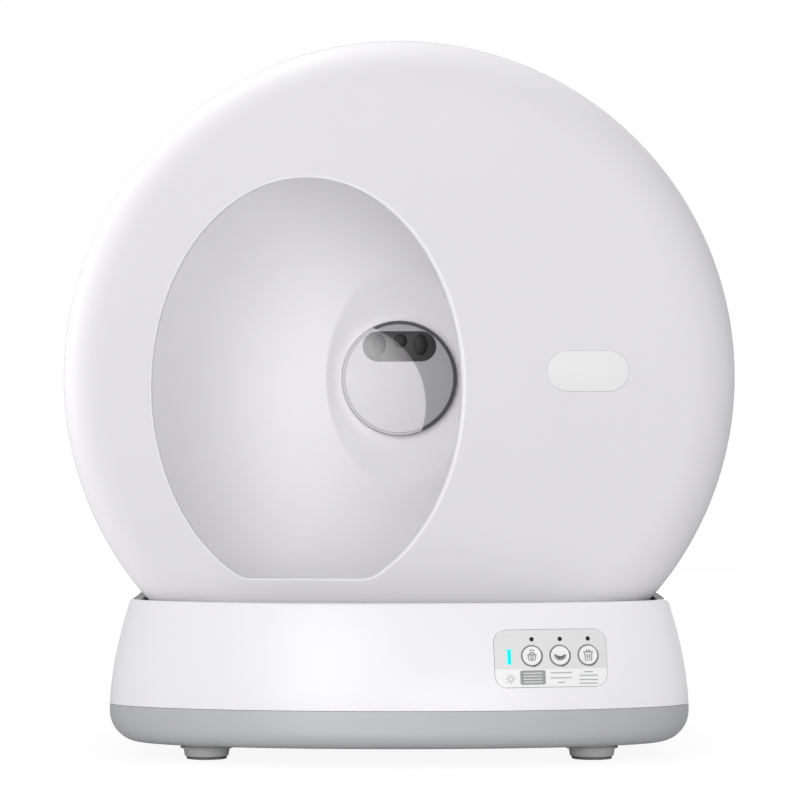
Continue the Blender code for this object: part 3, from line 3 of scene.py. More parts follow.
import bmesh
import bpy
import numpy as np
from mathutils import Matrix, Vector


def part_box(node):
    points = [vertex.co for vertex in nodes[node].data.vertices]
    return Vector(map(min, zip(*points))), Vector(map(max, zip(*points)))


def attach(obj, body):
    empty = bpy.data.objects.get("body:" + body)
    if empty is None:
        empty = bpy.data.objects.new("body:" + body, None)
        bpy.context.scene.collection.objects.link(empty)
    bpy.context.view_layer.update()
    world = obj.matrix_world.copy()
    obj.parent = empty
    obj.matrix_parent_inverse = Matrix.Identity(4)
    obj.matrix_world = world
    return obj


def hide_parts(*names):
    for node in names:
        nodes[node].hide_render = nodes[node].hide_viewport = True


# Looks of the self-cleaning litter box, in metres: +Z up, front towards -Y, floor at z 0.
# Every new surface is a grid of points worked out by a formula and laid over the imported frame.
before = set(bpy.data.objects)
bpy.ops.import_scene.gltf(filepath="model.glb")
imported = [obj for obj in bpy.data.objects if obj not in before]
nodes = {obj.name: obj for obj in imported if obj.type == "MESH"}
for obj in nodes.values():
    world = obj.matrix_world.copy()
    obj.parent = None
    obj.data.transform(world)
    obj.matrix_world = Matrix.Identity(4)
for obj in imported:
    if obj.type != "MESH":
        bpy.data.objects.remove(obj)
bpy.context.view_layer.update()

MERGE = 1e-6
SEAT_GAP = 0.0003
PROBE = 0.001  # step used to find the slope of the base's front
TURN_STEPS = 96
HUB_STEPS = 180
CREASE = math.radians(35)

# Drum, about its axle
shell_low, shell_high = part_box("drum_front_shell")
FACE_Y = shell_low.y
BAND_END_Y = shell_high.y
DRUM_RADIUS = shell_high.x
AXLE_Z = shell_high.z - DRUM_RADIUS
DRUM_WALL = 0.003
EDGE_DEPTH = 0.041  # how far the rounded edge runs back from the face
EDGE_REACH = 0.047  # how far it runs inwards over the face
PAINTED_EDGE_SHADE_DEPTH = 0.0320  # where the painted shade starts, behind the face: a greyer band that stands in for the dark grazing reflection along the drum's outline
PAINTED_EDGE_SHADE_BLEND = 0.0006
ENTRY_SHIFT = -0.0820
ENTRY_DROP = 0.0096
ENTRY_HALF_WIDTH = 0.1366
ENTRY_HALF_HEIGHT = 0.1846
ENTRY_SILL_DROP = 0.1782
ENTRY_CORNER = 0.007
LIP_WIDTH = 0.0046  # at the entry's right; the lip narrows towards its left
LIP_LEFT_SHARE = 0.36
LIP_ROUND = 0.0041
LIP_REACH = 0.0090
LAP_RADIUS = 0.2937
LAP_START_Y = -0.089
SHOULDER_Y = -0.0673
BOWL_RADIUS = 0.288
BOWL_FLAT_RADIUS = 0.122
BOWL_Y = -0.0643
BOWL_DEPTH = 0.190
RECESS_HALF_WIDTH = 0.0715
RECESS_HALF_HEIGHT = 0.1085
RECESS_FLOOR_RADIUS = 0.0562
RECESS_DEPTH = 0.0115
RECESS_SOFTNESS_SHARE = 0.15
COLLAR_RADIUS = 0.0556
COLLAR_LENGTH = 0.028
PORT_HALF_WIDTH = 0.055
PORT_FRONT_Y = 0.025
PORT_REAR_Y = 0.087

# Hub, about the axle
RING_INNER_RADIUS = 0.05235
RING_OUTER_RADIUS = 0.0552
SLEEVE_BACK = -0.0120
WINDOW_WIDTH = 0.0710
WINDOW_HEIGHT = 0.0292
WINDOW_RISE = 0.0308
PATCH_X = -0.0537  # the round patch of light on the hub
PATCH_DROP = 0.02565
PATCH_RADIUS = 0.0793
PATCH_FADE_DEPTH = 0.018

# Rear housing
HOUSING_Y = -0.057
HOUSING_RADIUS = 0.298
HOUSING_FLAT_RADIUS = 0.170
HOUSING_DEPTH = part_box("rear_housing")[1].y - HOUSING_Y
HOUSING_FOOT_Z = 0.138

# Base: half its width at the seam, and the form that flares to it
SEAM_Z = 0.0455
RIM_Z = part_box("base_shell")[1].z + 0.0015
PART_Z = 0.0495  # the line where white meets grey, a little above the widest part
SEAM_HALF_WIDTH = 0.25851
BASE_FLARE = 0.0185
FLARE_POWER = 1.7
BASE_CORNER = 0.028
FRONT_CORNER = 0.014  # the tray's corner along its front, which is tighter than its sides'
FOOT_HEIGHT = 0.0155
BASE_HALF_DEPTH = 0.2455
BASE_STRAIGHT = 0.150
RIM_WIDTH = 0.010
RIM_WHITE_WIDTH = 0.0028  # the white edge of the rim; a grey seal covers the rest
RIM_ROUND = 0.0022
SEAL_DROP = 0.0004  # the seal's top below the rim's
SEAL_HEIGHT = 0.0036
BASE_WALL = 0.003
TRAY_WALL = 0.002
TRAY_NOTCH_Z = 0.0160
FLAT_COLUMN = 0.195  # columns of the base's grid stand at a fixed x as far as this
INLET_REACH = 0.017  # where the inlet's flat landing has blended into the side
INLET_BLEND = 0.006
DOOR_OPENING = 0.1515
DOOR_OPENING_TOP = 0.1255
DOOR_HALF_WIDTH = 0.1505
DOOR_LOW_Z = 0.0163
DOOR_HIGH_Z = 0.1245
DOOR_WALL = 0.004
GRIP_WIDTH = 0.090
GRIP_HEIGHT = 0.015
GRIP_Z = 0.105

# Control panel
PANEL_X = 0.133
PANEL_Z = 0.0939
PANEL_WIDTH = 0.1014
PANEL_HEIGHT = 0.0505
PANEL_LIFT = 0.0008  # the plate's middle above the middle of its drawing
PANEL_CORNER = 0.0110
PANEL_PROUD = 0.0003
PANEL_WALL = 0.0020
FILM_SPLIT_Z = 0.0853  # grey film above, paler film below
BUTTON_RADIUS = 0.0083
BUTTON_SHIFT = 0.0073
BUTTON_SPACING = 0.0248
BUTTON_RISE = 0.0028
BUTTON_CELL = 0.0115  # half of the square of the plate's grid that holds a button's hole
LAMP_RADIUS = 0.0020
LAMP_RISE = 0.0171
INK = 0.0001

FRONT = np.array([[1, 0, 0], [0, 0, 1], [0, -1, 0]], float)  # across, up, out
UPRIGHT = np.eye(3)


# Grids and meshes

def joined(*parts):
    """Points from their coordinates, spread to one common shape."""
    return np.stack(np.broadcast_arrays(*parts), axis=-1)


def patch(points, around=True, keep=None):
    """A grid of points with the corner numbers of its cells.

    around joins the last column to the first, and keep marks the cells that are made.
    """
    rows, columns = points.shape[:2]
    number = np.arange(rows * columns).reshape(rows, columns)
    if around:
        number = np.hstack([number, number[:, :1]])
    corners = joined(number[:-1, :-1], number[:-1, 1:], number[1:, 1:], number[1:, :-1])
    return points.reshape(-1, 3), corners.reshape(-1, 4) if keep is None else corners[keep]


def adjust(thing, **settings):
    """The thing itself, with its settings changed."""
    for key, value in settings.items():
        setattr(thing, key, value)
    return thing


def read(items, key, width=1, kind=float):
    """One value, or one row of values, from every item of a mesh."""
    values = np.empty(len(items) * width, kind)
    items.foreach_get(key, values)
    return values.reshape(-1, width) if width > 1 else values


def new_object(name, data):
    """An object of the scene."""
    made = bpy.data.objects.new(name, data)
    bpy.context.scene.collection.objects.link(made)
    return made


def piece(name, patches, replaced, finish, body="base", facing="out", wall=0.0, edge=0.0):
    """One object from several patches, joined where they meet, in a finish and with its slot.

    Its faces look along facing: a direction, or out from or in to the mesh's middle. wall is
    a thickness given behind them, and edge the radius of its rounded edges.
    """
    starts = np.cumsum([0] + [len(points) for points, _ in patches[:-1]])
    corners = np.concatenate([cells + start for (_, cells), start in zip(patches, starts)])
    points = np.concatenate([points for points, _ in patches])
    used, corners = np.unique(corners, return_inverse=True)
    mesh = bpy.data.meshes.new(name)
    mesh.from_pydata(points[used].tolist(), [], corners.reshape(-1, 4).tolist())
    shape = bmesh.new()
    shape.from_mesh(mesh)
    bmesh.ops.remove_doubles(shape, verts=shape.verts, dist=MERGE)
    bmesh.ops.recalc_face_normals(shape, faces=shape.faces)
    shape.to_mesh(mesh)
    shape.free()

    centres = read(mesh.polygons, "center", 3)
    outward = centres - centres.mean(axis=0)
    wanted = {"out": outward, "in": -outward}.get(facing, facing)
    agreement = (read(mesh.polygons, "normal", 3) * wanted).sum(axis=1)
    if (agreement * read(mesh.polygons, "area")).sum() < 0:
        mesh.flip_normals()
    mesh.shade_smooth()
    mesh.set_sharp_from_angle(angle=CREASE)
    if wall and not edge:
        uses = np.bincount(read(mesh.loops, "edge_index", kind=int), minlength=len(mesh.edges))
        sharp = read(mesh.edges, "use_edge_sharp", kind=bool) | (uses < 2)
        mesh.edges.foreach_set("use_edge_sharp", sharp)

    made = new_object(name, mesh)
    mesh.materials.append(FINISHES[finish])
    if wall:
        adjust(made.modifiers.new("wall", "SOLIDIFY"), thickness=wall, offset=-1)
    if edge:
        adjust(made.modifiers.new("edge", "BEVEL"), width=edge, segments=3, limit_method="ANGLE",
               angle_limit=math.radians(50), harden_normals=True)
    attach(made, body)
    if replaced:
        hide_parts(*replaced)


def placed(local, place):
    """Local points, turned and moved to a place: an origin and the directions of its three axes."""
    origin, axes = place
    return origin + local @ axes


def turned(profile, place, steps=TURN_STEPS):
    """A profile of (radius, height) carried round an axis: (r cos t, r sin t, height)."""
    turn = np.linspace(0, 2 * np.pi, steps, endpoint=False)
    radius, height = np.asarray(profile, float).T[:, :, None]
    return patch(placed(joined(radius * np.cos(turn), radius * np.sin(turn), height), place))


def dome(radius, base, rise, low, steps):
    """A profile of (radius, height): a quarter ellipse from its top, a straight side and a flat back."""
    turn = np.linspace(0, np.pi / 2, steps)
    cap = joined(radius * np.sin(turn), base + rise * np.cos(turn))
    return np.concatenate([cap, [(radius, low), (0, low)]])


def bent(start, corner, end, share):
    """A curve of second degree from A to B by way of corner C: (1-s)2 A + 2s(1-s) C + s2 B."""
    return (1 - share) ** 2 * start + 2 * share * (1 - share) * corner + share**2 * end


def filleted(points, radii, steps=6):
    """A line of points whose corners are rounded between the two points a radius away from them."""
    points = np.asarray(points, float)
    share = np.linspace(0, 1, steps + 1)[:, None]
    line = [points[:1]]
    for before, corner, after, radius in zip(points[:-2], points[1:-1], points[2:], radii):
        if radius:
            start = corner + (before - corner) * radius / np.linalg.norm(before - corner)
            end = corner + (after - corner) * radius / np.linalg.norm(after - corner)
            line.append(bent(start, corner, end, share))
        else:
            line.append(corner[None])
    return np.concatenate(line + [points[-1:]])


def stations(edges, step):
    """Evenly spaced values between each two edges, every edge among them."""
    runs = [np.linspace(low, high, max(1, round(abs(high - low) / step)), endpoint=False)
            for low, high in zip(edges[:-1], edges[1:])]
    return np.concatenate(runs + [[edges[-1]]])


def within(values, low, high):
    """The values between two edges, with the edges."""
    return values[(values > low - MERGE) & (values < high + MERGE)]


def middles(values):
    """The middles between neighbours."""
    return (values[:-1] + values[1:]) / 2


def cell_middles(grid):
    """The x, y and z of the middle of each cell of a grid that closes round."""
    middle = middles(grid)
    return np.moveaxis((middle + np.roll(middle, -1, axis=1)) / 2, -1, 0)


def rounded_side(share, width, height, corner):
    """The top of a rounded rectangle, from the middle of its left corner to that of its right one.

    The share runs along an eighth of a turn, the straight top and another eighth of a turn.
    """
    bend = corner * np.pi / 4
    straight = width - 2 * corner
    past = share * (2 * bend + straight) - bend
    turn = np.pi / 2 - (np.clip(past, None, 0) + np.clip(past - straight, 0, None)) / corner
    middle = np.clip(past, 0, straight) - straight / 2
    return middle + corner * np.cos(turn), height / 2 - corner + corner * np.sin(turn)


def rounded_loop(shares, width, height, corner, centre=(0.0, 0.0)):
    """A rounded rectangle, clockwise from its upper left corner, by shares of its four sides."""
    loops = []
    size, cosine, sine = (width, height), 1, 0
    for side in shares:
        across, up = rounded_side(side, *size, corner)
        loops.append(joined(across * cosine - up * sine, across * sine + up * cosine))
        size, cosine, sine = size[::-1], sine, -cosine
    return np.concatenate(loops) + np.asarray(centre, float)


def even_loop(width, height, corner, steps=24):
    """A rounded rectangle with as many points on each of its four sides."""
    return rounded_loop([np.linspace(0, 1, steps, endpoint=False)] * 4, width, height, corner)


def block_frame(columns, rows, width, height, corner, centre=(0.0, 0.0), to_grid=None, rings=5):
    """Plane points between the edge of a block of a grid and a rounded outline in or round it.

    The rings lie at even shares of the way from the block's edge to the outline.
    """
    low_x, high_x, low_z, high_z = columns[0], columns[-1], rows[0], rows[-1]
    wide, high = high_x - low_x, high_z - low_z
    across, back, up, down = columns[:-1], columns[:0:-1], rows[:-1], rows[:0:-1]
    shares = ((across - low_x) / wide, (high_z - down) / high, (high_x - back) / wide, (up - low_z) / high)
    sides = ((across, high_z), (high_x, down), (back, low_z), (low_x, up))
    outer = np.concatenate([joined(*side) for side in sides])
    inner = rounded_loop(shares, width, height, corner, centre)
    if to_grid:
        inner = to_grid(inner)
    share = np.linspace(0, 1, rings + 1)[:, None, None]
    return outer + share * (inner - outer)


def plate(width, height, corner, section, place):
    """A plate on a rounded outline, closed at its middle; the section is (inset, height) from its back edge."""
    rings = [np.insert(even_loop(width - 2 * inset, height - 2 * inset, corner - inset), 2, rise, axis=1)
             for inset, rise in section]
    flat = np.array([0, 0, 1])
    return patch(placed(np.stack([rings[0] * flat, *rings, rings[-1] * flat]), place))


# The base's form

def half_width(z):
    """Half the base's width at height z: it flares down to the seam and rounds in below it.

    Above the seam it is the seam's less flare times (rise share) to the power 1.7; below, a
    quarter circle of the corner's radius ends it.
    """
    z = np.asarray(z, float)
    rise = np.clip((z - SEAM_Z) / (RIM_Z - SEAM_Z), 0, None)
    drop = np.clip(FOOT_HEIGHT + BASE_CORNER - z, 0, BASE_CORNER)
    lower = SEAM_HALF_WIDTH - BASE_CORNER + np.sqrt(BASE_CORNER**2 - drop**2)
    return np.where(z >= SEAM_Z, SEAM_HALF_WIDTH - BASE_FLARE * rise**FLARE_POWER, lower)


def bulge(wide):
    """How far the half ellipse of the front or rear runs beyond the straight sides."""
    return wide - SEAM_HALF_WIDTH + BASE_HALF_DEPTH - BASE_STRAIGHT


def front_y(x, z):
    """The y of the base's front: half an ellipse beyond the straight sides."""
    wide = half_width(z)
    return -(BASE_STRAIGHT + bulge(wide) * np.sqrt(1 - (x / wide) ** 2))


def on_front(plane, side=-1):
    """Points of the base's front, or with side 1 of its rear, from their (x, z)."""
    x, z = plane[..., 0], plane[..., 1]
    return joined(x, -side * front_y(x, z), z)


def surface_place(x, z):
    """The place of a point on the base's front: across along it, up along it, and out of it."""
    y = float(front_y(x, z))
    across = np.array([PROBE, float(front_y(x + PROBE, z)) - y, 0])
    across /= np.linalg.norm(across)
    out = np.cross(across, [0, float(front_y(x, z + PROBE)) - y, PROBE])
    out /= np.linalg.norm(out)
    return np.array([x, y, z]), np.array([across, np.cross(out, across), out])


PANEL_PLACE = surface_place(PANEL_X, PANEL_Z)


def on_panel(plane, out=PANEL_PROUD):
    """Points above the base's front from their (across, up) on the flat drawing of the panel.

    Each point slides along the panel's middle normal N until it lies on the front: its distance
    from the front times N's y is taken off six times.
    """
    origin, (across, up, normal) = PANEL_PLACE
    points = origin + plane[..., :1] * across + plane[..., 1:] * up
    for _ in range(6):
        error = points[..., 1] - front_y(points[..., 0], points[..., 2])
        points = points - (error * normal[1])[..., None] * normal
    return points + out * normal


def belt(heights, widths, front_columns, rear_columns, side_columns, front_gain=0.0):
    """Rings round the base, one for each height and half width.

    From the left front corner: an end of the front's half ellipse, columns at fixed x, the other
    end, the straight right side, the same round the rear, and the straight left side. The gain
    is how much farther forward each row's front runs.
    """
    wide = np.asarray(widths, float)[:, None]
    ahead = bulge(wide) + np.reshape(front_gain, (-1, 1))
    share = np.linspace(0, 1, 16, endpoint=False)
    ends = wide * np.cos(np.arccos(FLAT_COLUMN / wide) * share)
    rising = np.hstack([-ends, 0 * wide + front_columns[:-1], 0 * wide + FLAT_COLUMN, ends[:, :0:-1]])
    falling = np.hstack([ends, 0 * wide + rear_columns[:0:-1], 0 * wide - FLAT_COLUMN, -ends[:, :0:-1]])
    front = -(BASE_STRAIGHT + ahead * np.sqrt(np.clip(1 - (rising / wide) ** 2, 0, None)))
    rear = BASE_STRAIGHT + bulge(wide) * np.sqrt(np.clip(1 - (falling / wide) ** 2, 0, None))
    right = 0 * wide + side_columns[:-1]
    x = np.hstack([rising, 0 * right + wide, falling, 0 * right - wide])
    y = np.hstack([front, right, rear, -right])
    return joined(x, y, np.asarray(heights, float)[:, None])


# Node helpers and shader groups

def feed(tree, node, inputs):
    """A node whose inputs are given values, or linked to outputs."""
    for socket, value in inputs.items():
        if isinstance(value, bpy.types.NodeSocket):
            tree.links.new(value, node.inputs[socket])
        else:
            node.inputs[socket].default_value = value
    return node


def add_node(tree, kind, inputs=None, **settings):
    """A new node with its settings and its inputs."""
    return feed(tree, adjust(tree.nodes.new(kind), **settings), inputs or {})


def add_math(tree, operation, first, second=0.0, clamp=False):
    """A sum worked out by a Math node."""
    made = add_node(tree, "ShaderNodeMath", {0: first, 1: second}, operation=operation, use_clamp=clamp)
    return made.outputs[0]


def add_mix(tree, share, first, second):
    """A colour between two colours."""
    return add_node(tree, "ShaderNodeMix", {0: share, 6: first, 7: second}, data_type="RGBA").outputs[2]


def object_at(tree):
    """The place on the object, in its own coordinates."""
    return add_node(tree, "ShaderNodeTexCoord").outputs["Object"]


def along(tree, axis):
    """The place on the object along one axis."""
    return add_node(tree, "ShaderNodeSeparateXYZ", {"Vector": object_at(tree)}).outputs[axis]


def noise(tree, place, scale, detail=2.0, roughness=0.5):
    """Soft noise, about one half."""
    inputs = {"Vector": place, "Scale": scale, "Detail": detail, "Roughness": roughness}
    return add_node(tree, "ShaderNodeTexNoise", inputs).outputs["Fac"]


def shader_group(name, inputs, outputs):
    """A shader node group with its sockets, and what it is given; outputs are (name, kind)."""
    group = bpy.data.node_groups.new(name, "ShaderNodeTree")
    for socket, value in inputs.items():
        kind = "NodeSocketColor" if isinstance(value, tuple) else "NodeSocketFloat"
        group.interface.new_socket(socket, in_out="INPUT", socket_type=kind).default_value = value
    for socket, kind in outputs:
        group.interface.new_socket(socket, in_out="OUTPUT", socket_type=f"NodeSocket{kind}")
    return group, group.nodes.new("NodeGroupInput").outputs


SURFACE = [("Color", "Color"), ("Roughness", "Float"), ("Normal", "Vector")]


def surface_result(group, given, colour, wave, gloss_drift, relief):
    """The end of a surface group: its roughness drifts with a wave, and relief feeds its bump."""
    drift = add_math(group, "MULTIPLY", add_math(group, "SUBTRACT", wave, 0.5), gloss_drift)
    rough = add_math(group, "ADD", given["Roughness"], drift, clamp=True)
    bump = add_node(group, "ShaderNodeBump", relief).outputs["Normal"]
    add_node(group, "NodeGroupOutput", {"Color": colour, "Roughness": rough, "Normal": bump})
    return group


def moulded_grain():
    """Moulded plastic: a fine spark-eroded grain, a slow drift of tone and a drift of gloss."""
    sizes = {"Tone": (0.8, 0.8, 0.8, 1), "Roughness": 0.4, "Grain Scale": 1400.0, "Relief": 0.1, "Drift": 0.02}
    group, given = shader_group("moulded_grain", sizes, SURFACE)
    place = object_at(group)
    grain = noise(group, place, given["Grain Scale"], 3.0, 0.6)
    slow = noise(group, place, 7.0)
    speck = noise(group, place, 420.0, 1.0)
    mottle = add_math(group, "ADD", add_math(group, "MULTIPLY", slow, 0.8), add_math(group, "MULTIPLY", speck, 0.2))
    share = add_math(group, "MULTIPLY", mottle, given["Drift"], clamp=True)
    colour = add_mix(group, share, given["Tone"], (0.0, 0.0, 0.0, 1))
    relief = {"Strength": given["Relief"], "Distance": 0.0003, "Height": grain}
    return surface_result(group, given, colour, slow, 0.12, relief)


def brushed_metal():
    """Turned or drawn steel: fine lines stretched along one axis, in tone, gloss and relief."""
    group, given = shader_group("brushed_metal", {"Tone": (0.6, 0.6, 0.62, 1), "Roughness": 0.3}, SURFACE)
    stretched = {"Vector": object_at(group), "Scale": (300.0, 8.0, 300.0)}
    lines = noise(group, add_node(group, "ShaderNodeMapping", stretched).outputs[0], 3.0, 4.0)
    colour = add_mix(group, add_math(group, "MULTIPLY", lines, 0.25), given["Tone"], (0.2, 0.2, 0.21, 1))
    relief = {"Strength": 0.15, "Distance": 0.0002, "Height": lines}
    return surface_result(group, given, colour, lines, 0.3, relief)


def light_patch():
    """The soft round patch of light on the hub: 1 inside a circle beside the axle, 0 outside it.

    With a fade it grows from 1 less the fade at the circle's edge to 1 deeper inside.
    """
    group, given = shader_group("light_patch", {"Softness": 0.0015, "Fade": 0.0}, [("Mask", "Float")])
    across = add_math(group, "SUBTRACT", along(group, "X"), PATCH_X)
    up = add_math(group, "SUBTRACT", along(group, "Z"), AXLE_Z - PATCH_DROP)
    squares = add_math(group, "ADD", add_math(group, "POWER", across, 2.0), add_math(group, "POWER", up, 2.0))
    inside = add_math(group, "SUBTRACT", PATCH_RADIUS, add_math(group, "SQRT", squares))
    mask = add_math(group, "DIVIDE", inside, given["Softness"])
    mask = add_math(group, "ADD", mask, 0.5, clamp=True)
    deep = add_math(group, "DIVIDE", inside, PATCH_FADE_DEPTH, clamp=True)
    kept = add_math(group, "SUBTRACT", 1.0, given["Fade"])
    kept = add_math(group, "ADD", kept, add_math(group, "MULTIPLY", deep, given["Fade"]))
    add_node(group, "NodeGroupOutput", {"Mask": add_math(group, "MULTIPLY", mask, kept)})
    return group


GRAIN = moulded_grain()
PATCH = light_patch()
BRUSHED = brushed_metal()


# Materials

def new_material(name):
    """A material with its Principled shader."""
    made = bpy.data.materials.new(name)
    made.use_nodes = True
    return made, made.node_tree, made.node_tree.nodes["Principled BSDF"]


def use_group(tree, group, **values):
    """The outputs of a node group with its values; an underscore stands for a space."""
    inputs = {socket.replace("_", " ").title(): value for socket, value in values.items()}
    return add_node(tree, "ShaderNodeGroup", inputs, node_tree=group).outputs


def finish_with(tree, shader, surface, **levels):
    """Link a surface group's colour, roughness and relief to the shader."""
    feed(tree, shader, {"Base Color": surface["Color"], "Roughness": surface["Roughness"],
                        "Normal": surface["Normal"], **levels})


def plastic(name, tone, roughness, relief=0.08, gloss=0.5, grain_scale=1400.0):
    """Moulded plastic with its grain; a tone that varies comes as a function of the material's tree."""
    made, tree, shader = new_material(name)
    tone = tone(tree) if callable(tone) else (*tone, 1)
    surface = use_group(tree, GRAIN, tone=tone, roughness=roughness, relief=relief, drift=0.02,
                        grain_scale=grain_scale)
    finish_with(tree, shader, surface, **{"Specular IOR Level": gloss})
    return made


def drum_tone_and_painted_edge_shade(tree):
    """The front shell: a soft white front, and behind its rounded edge a greyer band of painted shade that darkens the
    drum's outline as a grazing reflection would.
    """
    behind = add_math(tree, "SUBTRACT", along(tree, "Y"), FACE_Y + PAINTED_EDGE_SHADE_DEPTH)
    share = add_math(tree, "DIVIDE", behind, PAINTED_EDGE_SHADE_BLEND, clamp=True)
    return add_mix(tree, share, (0.765, 0.752, 0.775, 1), (0.50, 0.495, 0.50, 1))


def film_tone(tree):
    """The panel's film: a grey upper field over a paler lower one, split at one height."""
    above = add_math(tree, "SUBTRACT", along(tree, "Z"), FILM_SPLIT_Z)
    split = add_math(tree, "ADD", add_math(tree, "MULTIPLY", above, 8000), 0.5, clamp=True)
    return add_mix(tree, split, (0.93, 0.93, 0.93, 1), (0.79, 0.79, 0.795, 1))


def board_tone(tree):
    """A circuit board: green lacquer with paler tracks on a fine square grid."""
    tracks = {"Vector": object_at(tree), "Scale": 90.0, "Mortar Size": 0.03, "Color1": (0.012, 0.11, 0.04, 1),
              "Color2": (0.018, 0.14, 0.05, 1), "Mortar": (0.05, 0.26, 0.10, 1)}
    return add_node(tree, "ShaderNodeTexBrick", tracks).outputs["Color"]


def hub_plastic(name, lit, shaded, roughness, fade=0.0, gloss=0.25):
    """A piece of the hub: one tone inside the round patch of light and another outside it."""
    def tone(tree):
        return add_mix(tree, use_group(tree, PATCH, fade=fade)["Mask"], (*shaded, 1), (*lit, 1))

    return plastic(name, tone, roughness, 0.04, gloss)


def steel(name, tone, roughness):
    """Brushed steel."""
    made, tree, shader = new_material(name)
    surface = use_group(tree, BRUSHED, tone=(*tone, 1), roughness=roughness)
    finish_with(tree, shader, surface, Metallic=1.0)
    return made


def lit_cyan(name):
    """The light bar: a cyan diffuser with a fine drift of tone."""
    made, tree, shader = new_material(name)
    speck = noise(tree, object_at(tree), 900.0)
    colour = add_mix(tree, speck, (0.0, 0.70, 0.72, 1), (0.01, 0.82, 0.84, 1))
    feed(tree, shader, {"Base Color": colour, "Emission Color": colour, "Emission Strength": 0.6,
                        "Specular IOR Level": 0.0, "Roughness": 0.35})
    return made


# Tone, roughness, relief, specular level and grain scale
PLASTICS = {
    "drum_white": (drum_tone_and_painted_edge_shade, 0.55, 0.10, 0.25),
    "housing_white": ((0.765, 0.752, 0.775), 0.55, 0.10, 0.25),
    "bowl_white": ((0.92, 0.91, 0.925), 0.55, 0.08, 0.25),
    "lip_white": ((0.86, 0.85, 0.87), 0.35, 0.04),
    "badge_white": ((0.82, 0.82, 0.825), 0.45, 0.04, 0.3),
    "base_white": ((0.908, 0.895, 0.915), 0.30, 0.03, 0.45),
    "tray_grey": ((0.425, 0.428, 0.437), 0.40, 0.05),
    "foot_grey": ((0.70, 0.70, 0.705), 0.45, 0.14),
    "seal_grey": ((0.48, 0.48, 0.485), 0.70, 0.14, 0.2),
    "pad_grey": ((0.22, 0.22, 0.22), 0.75, 0.25, 0.2, 900.0),
    "deck_grey": ((0.36, 0.36, 0.365), 0.50, 0.14),
    "frame_grey": ((0.34, 0.345, 0.35), 0.50, 0.16),
    "sieve_grey": ((0.55, 0.555, 0.56), 0.45, 0.12),
    "gear_acetal": ((0.70, 0.70, 0.68), 0.38, 0.06),
    "gearbox_grey": ((0.18, 0.18, 0.19), 0.50, 0.18),
    "bin_grey": ((0.45, 0.455, 0.46), 0.42, 0.12),
    "inlet_black": ((0.03, 0.03, 0.032), 0.40, 0.12),
    "rubber_black": ((0.055, 0.055, 0.055), 0.75, 0.30, 0.5, 900.0),
    "circuit_lacquer": (board_tone, 0.30, 0.05),
    "panel_film": (film_tone, 0.35, 0.05),
    "button_white": ((0.93, 0.93, 0.93), 0.30, 0.04),
    "mark_ink": ((0.13, 0.13, 0.135), 0.50, 0.05),
    "mark_pale_ink": ((0.42, 0.42, 0.43), 0.50, 0.05),
    "tag_ink": ((0.33, 0.335, 0.34), 0.45, 0.05),
    "tag_line_ink": ((0.80, 0.80, 0.80), 0.45, 0.05),
    "ring_ink_and_painted_shadow": ((0.20, 0.20, 0.205), 0.50, 0.05, 0.2),
    "lamp_dark": ((0.015, 0.015, 0.016), 0.40, 0.03, 0.2),
}
# Tone in the patch of light and outside it, roughness, fade and specular level
HUB_PLASTICS = {
    "hub_ring_grey": ((0.665, 0.66, 0.67), (0.09, 0.09, 0.095), 0.50),
    "hub_disc_grey": ((0.83, 0.82, 0.835), (0.44, 0.435, 0.445), 0.50),
    "window_smoke": ((0.43, 0.425, 0.43), (0.056, 0.055, 0.057), 0.35, 0.6),
    "lens_smoke": ((0.40, 0.395, 0.40), (0.020, 0.019, 0.020), 0.30, 0.6, 0.12),
}
STEELS = {
    "brushed_steel": ((0.62, 0.62, 0.64), 0.30),
    "zinc_steel": ((0.55, 0.55, 0.57), 0.40),
}
FINISHES = {"light_bar_cyan": lit_cyan("light_bar_cyan")}
for make, table in ((plastic, PLASTICS), (hub_plastic, HUB_PLASTICS), (steel, STEELS)):
    FINISHES.update({name: make(name, *values) for name, values in table.items()})


# Drum

def entry_outline(grow=0.0):
    """The entry about the axle, (across, up): an ellipse cut by a flat sill, with rounded corners.

    The ellipse runs from the right corner over the top to the left one; each corner is a curve of
    second degree to the sill, and the sill is straight.
    """
    wide, high = ENTRY_HALF_WIDTH + grow, ENTRY_HALF_HEIGHT + grow
    sill = -(ENTRY_SILL_DROP + grow)
    sill_angle = math.asin((sill + ENTRY_DROP) / high)
    corner_x = wide * math.cos(sill_angle)
    corner = ENTRY_CORNER + grow
    start = sill_angle + math.atan2(corner, wide)
    turn = np.linspace(start, np.pi - start, 300)
    over = joined(wide * np.cos(turn), high * np.sin(turn) - ENTRY_DROP)
    share = np.linspace(0, 1, 15)[1:, None]
    left, right = (
        bent(end, np.array([side * corner_x, sill]), np.array([side * (corner_x - corner), sill]), share)
        for side, end in ((-1, over[-1]), (1, over[0])))
    flat = np.linspace(left[-1], right[-1], 60)[1:-1]
    return np.concatenate([over, left, flat, right[::-1]]) + np.array([ENTRY_SHIFT, 0])


def lip_line(reach):
    """The entry's outline set out by a reach that shrinks to a share of itself from right to left.

    The share is w + (1 - w) ((1 + x / half width) / 2) squared.
    """
    inner = entry_outline()
    across = np.clip((1 + (inner[:, :1] - ENTRY_SHIFT) / ENTRY_HALF_WIDTH) / 2, 0, 1)
    share = LIP_LEFT_SHARE + (1 - LIP_LEFT_SHARE) * across**2
    return inner + share * (entry_outline(reach) - inner)


def about_axle(plane, y):
    """World points from (across, up) about the axle and their y."""
    return joined(plane[..., 0], y, AXLE_Z + plane[..., 1])


def round_axle(radius, turn, depth):
    """World points from a radius and an angle clockwise from the top, row by row at their depths."""
    return about_axle(joined(radius * np.sin(turn), radius * np.cos(turn)), depth[:, None])


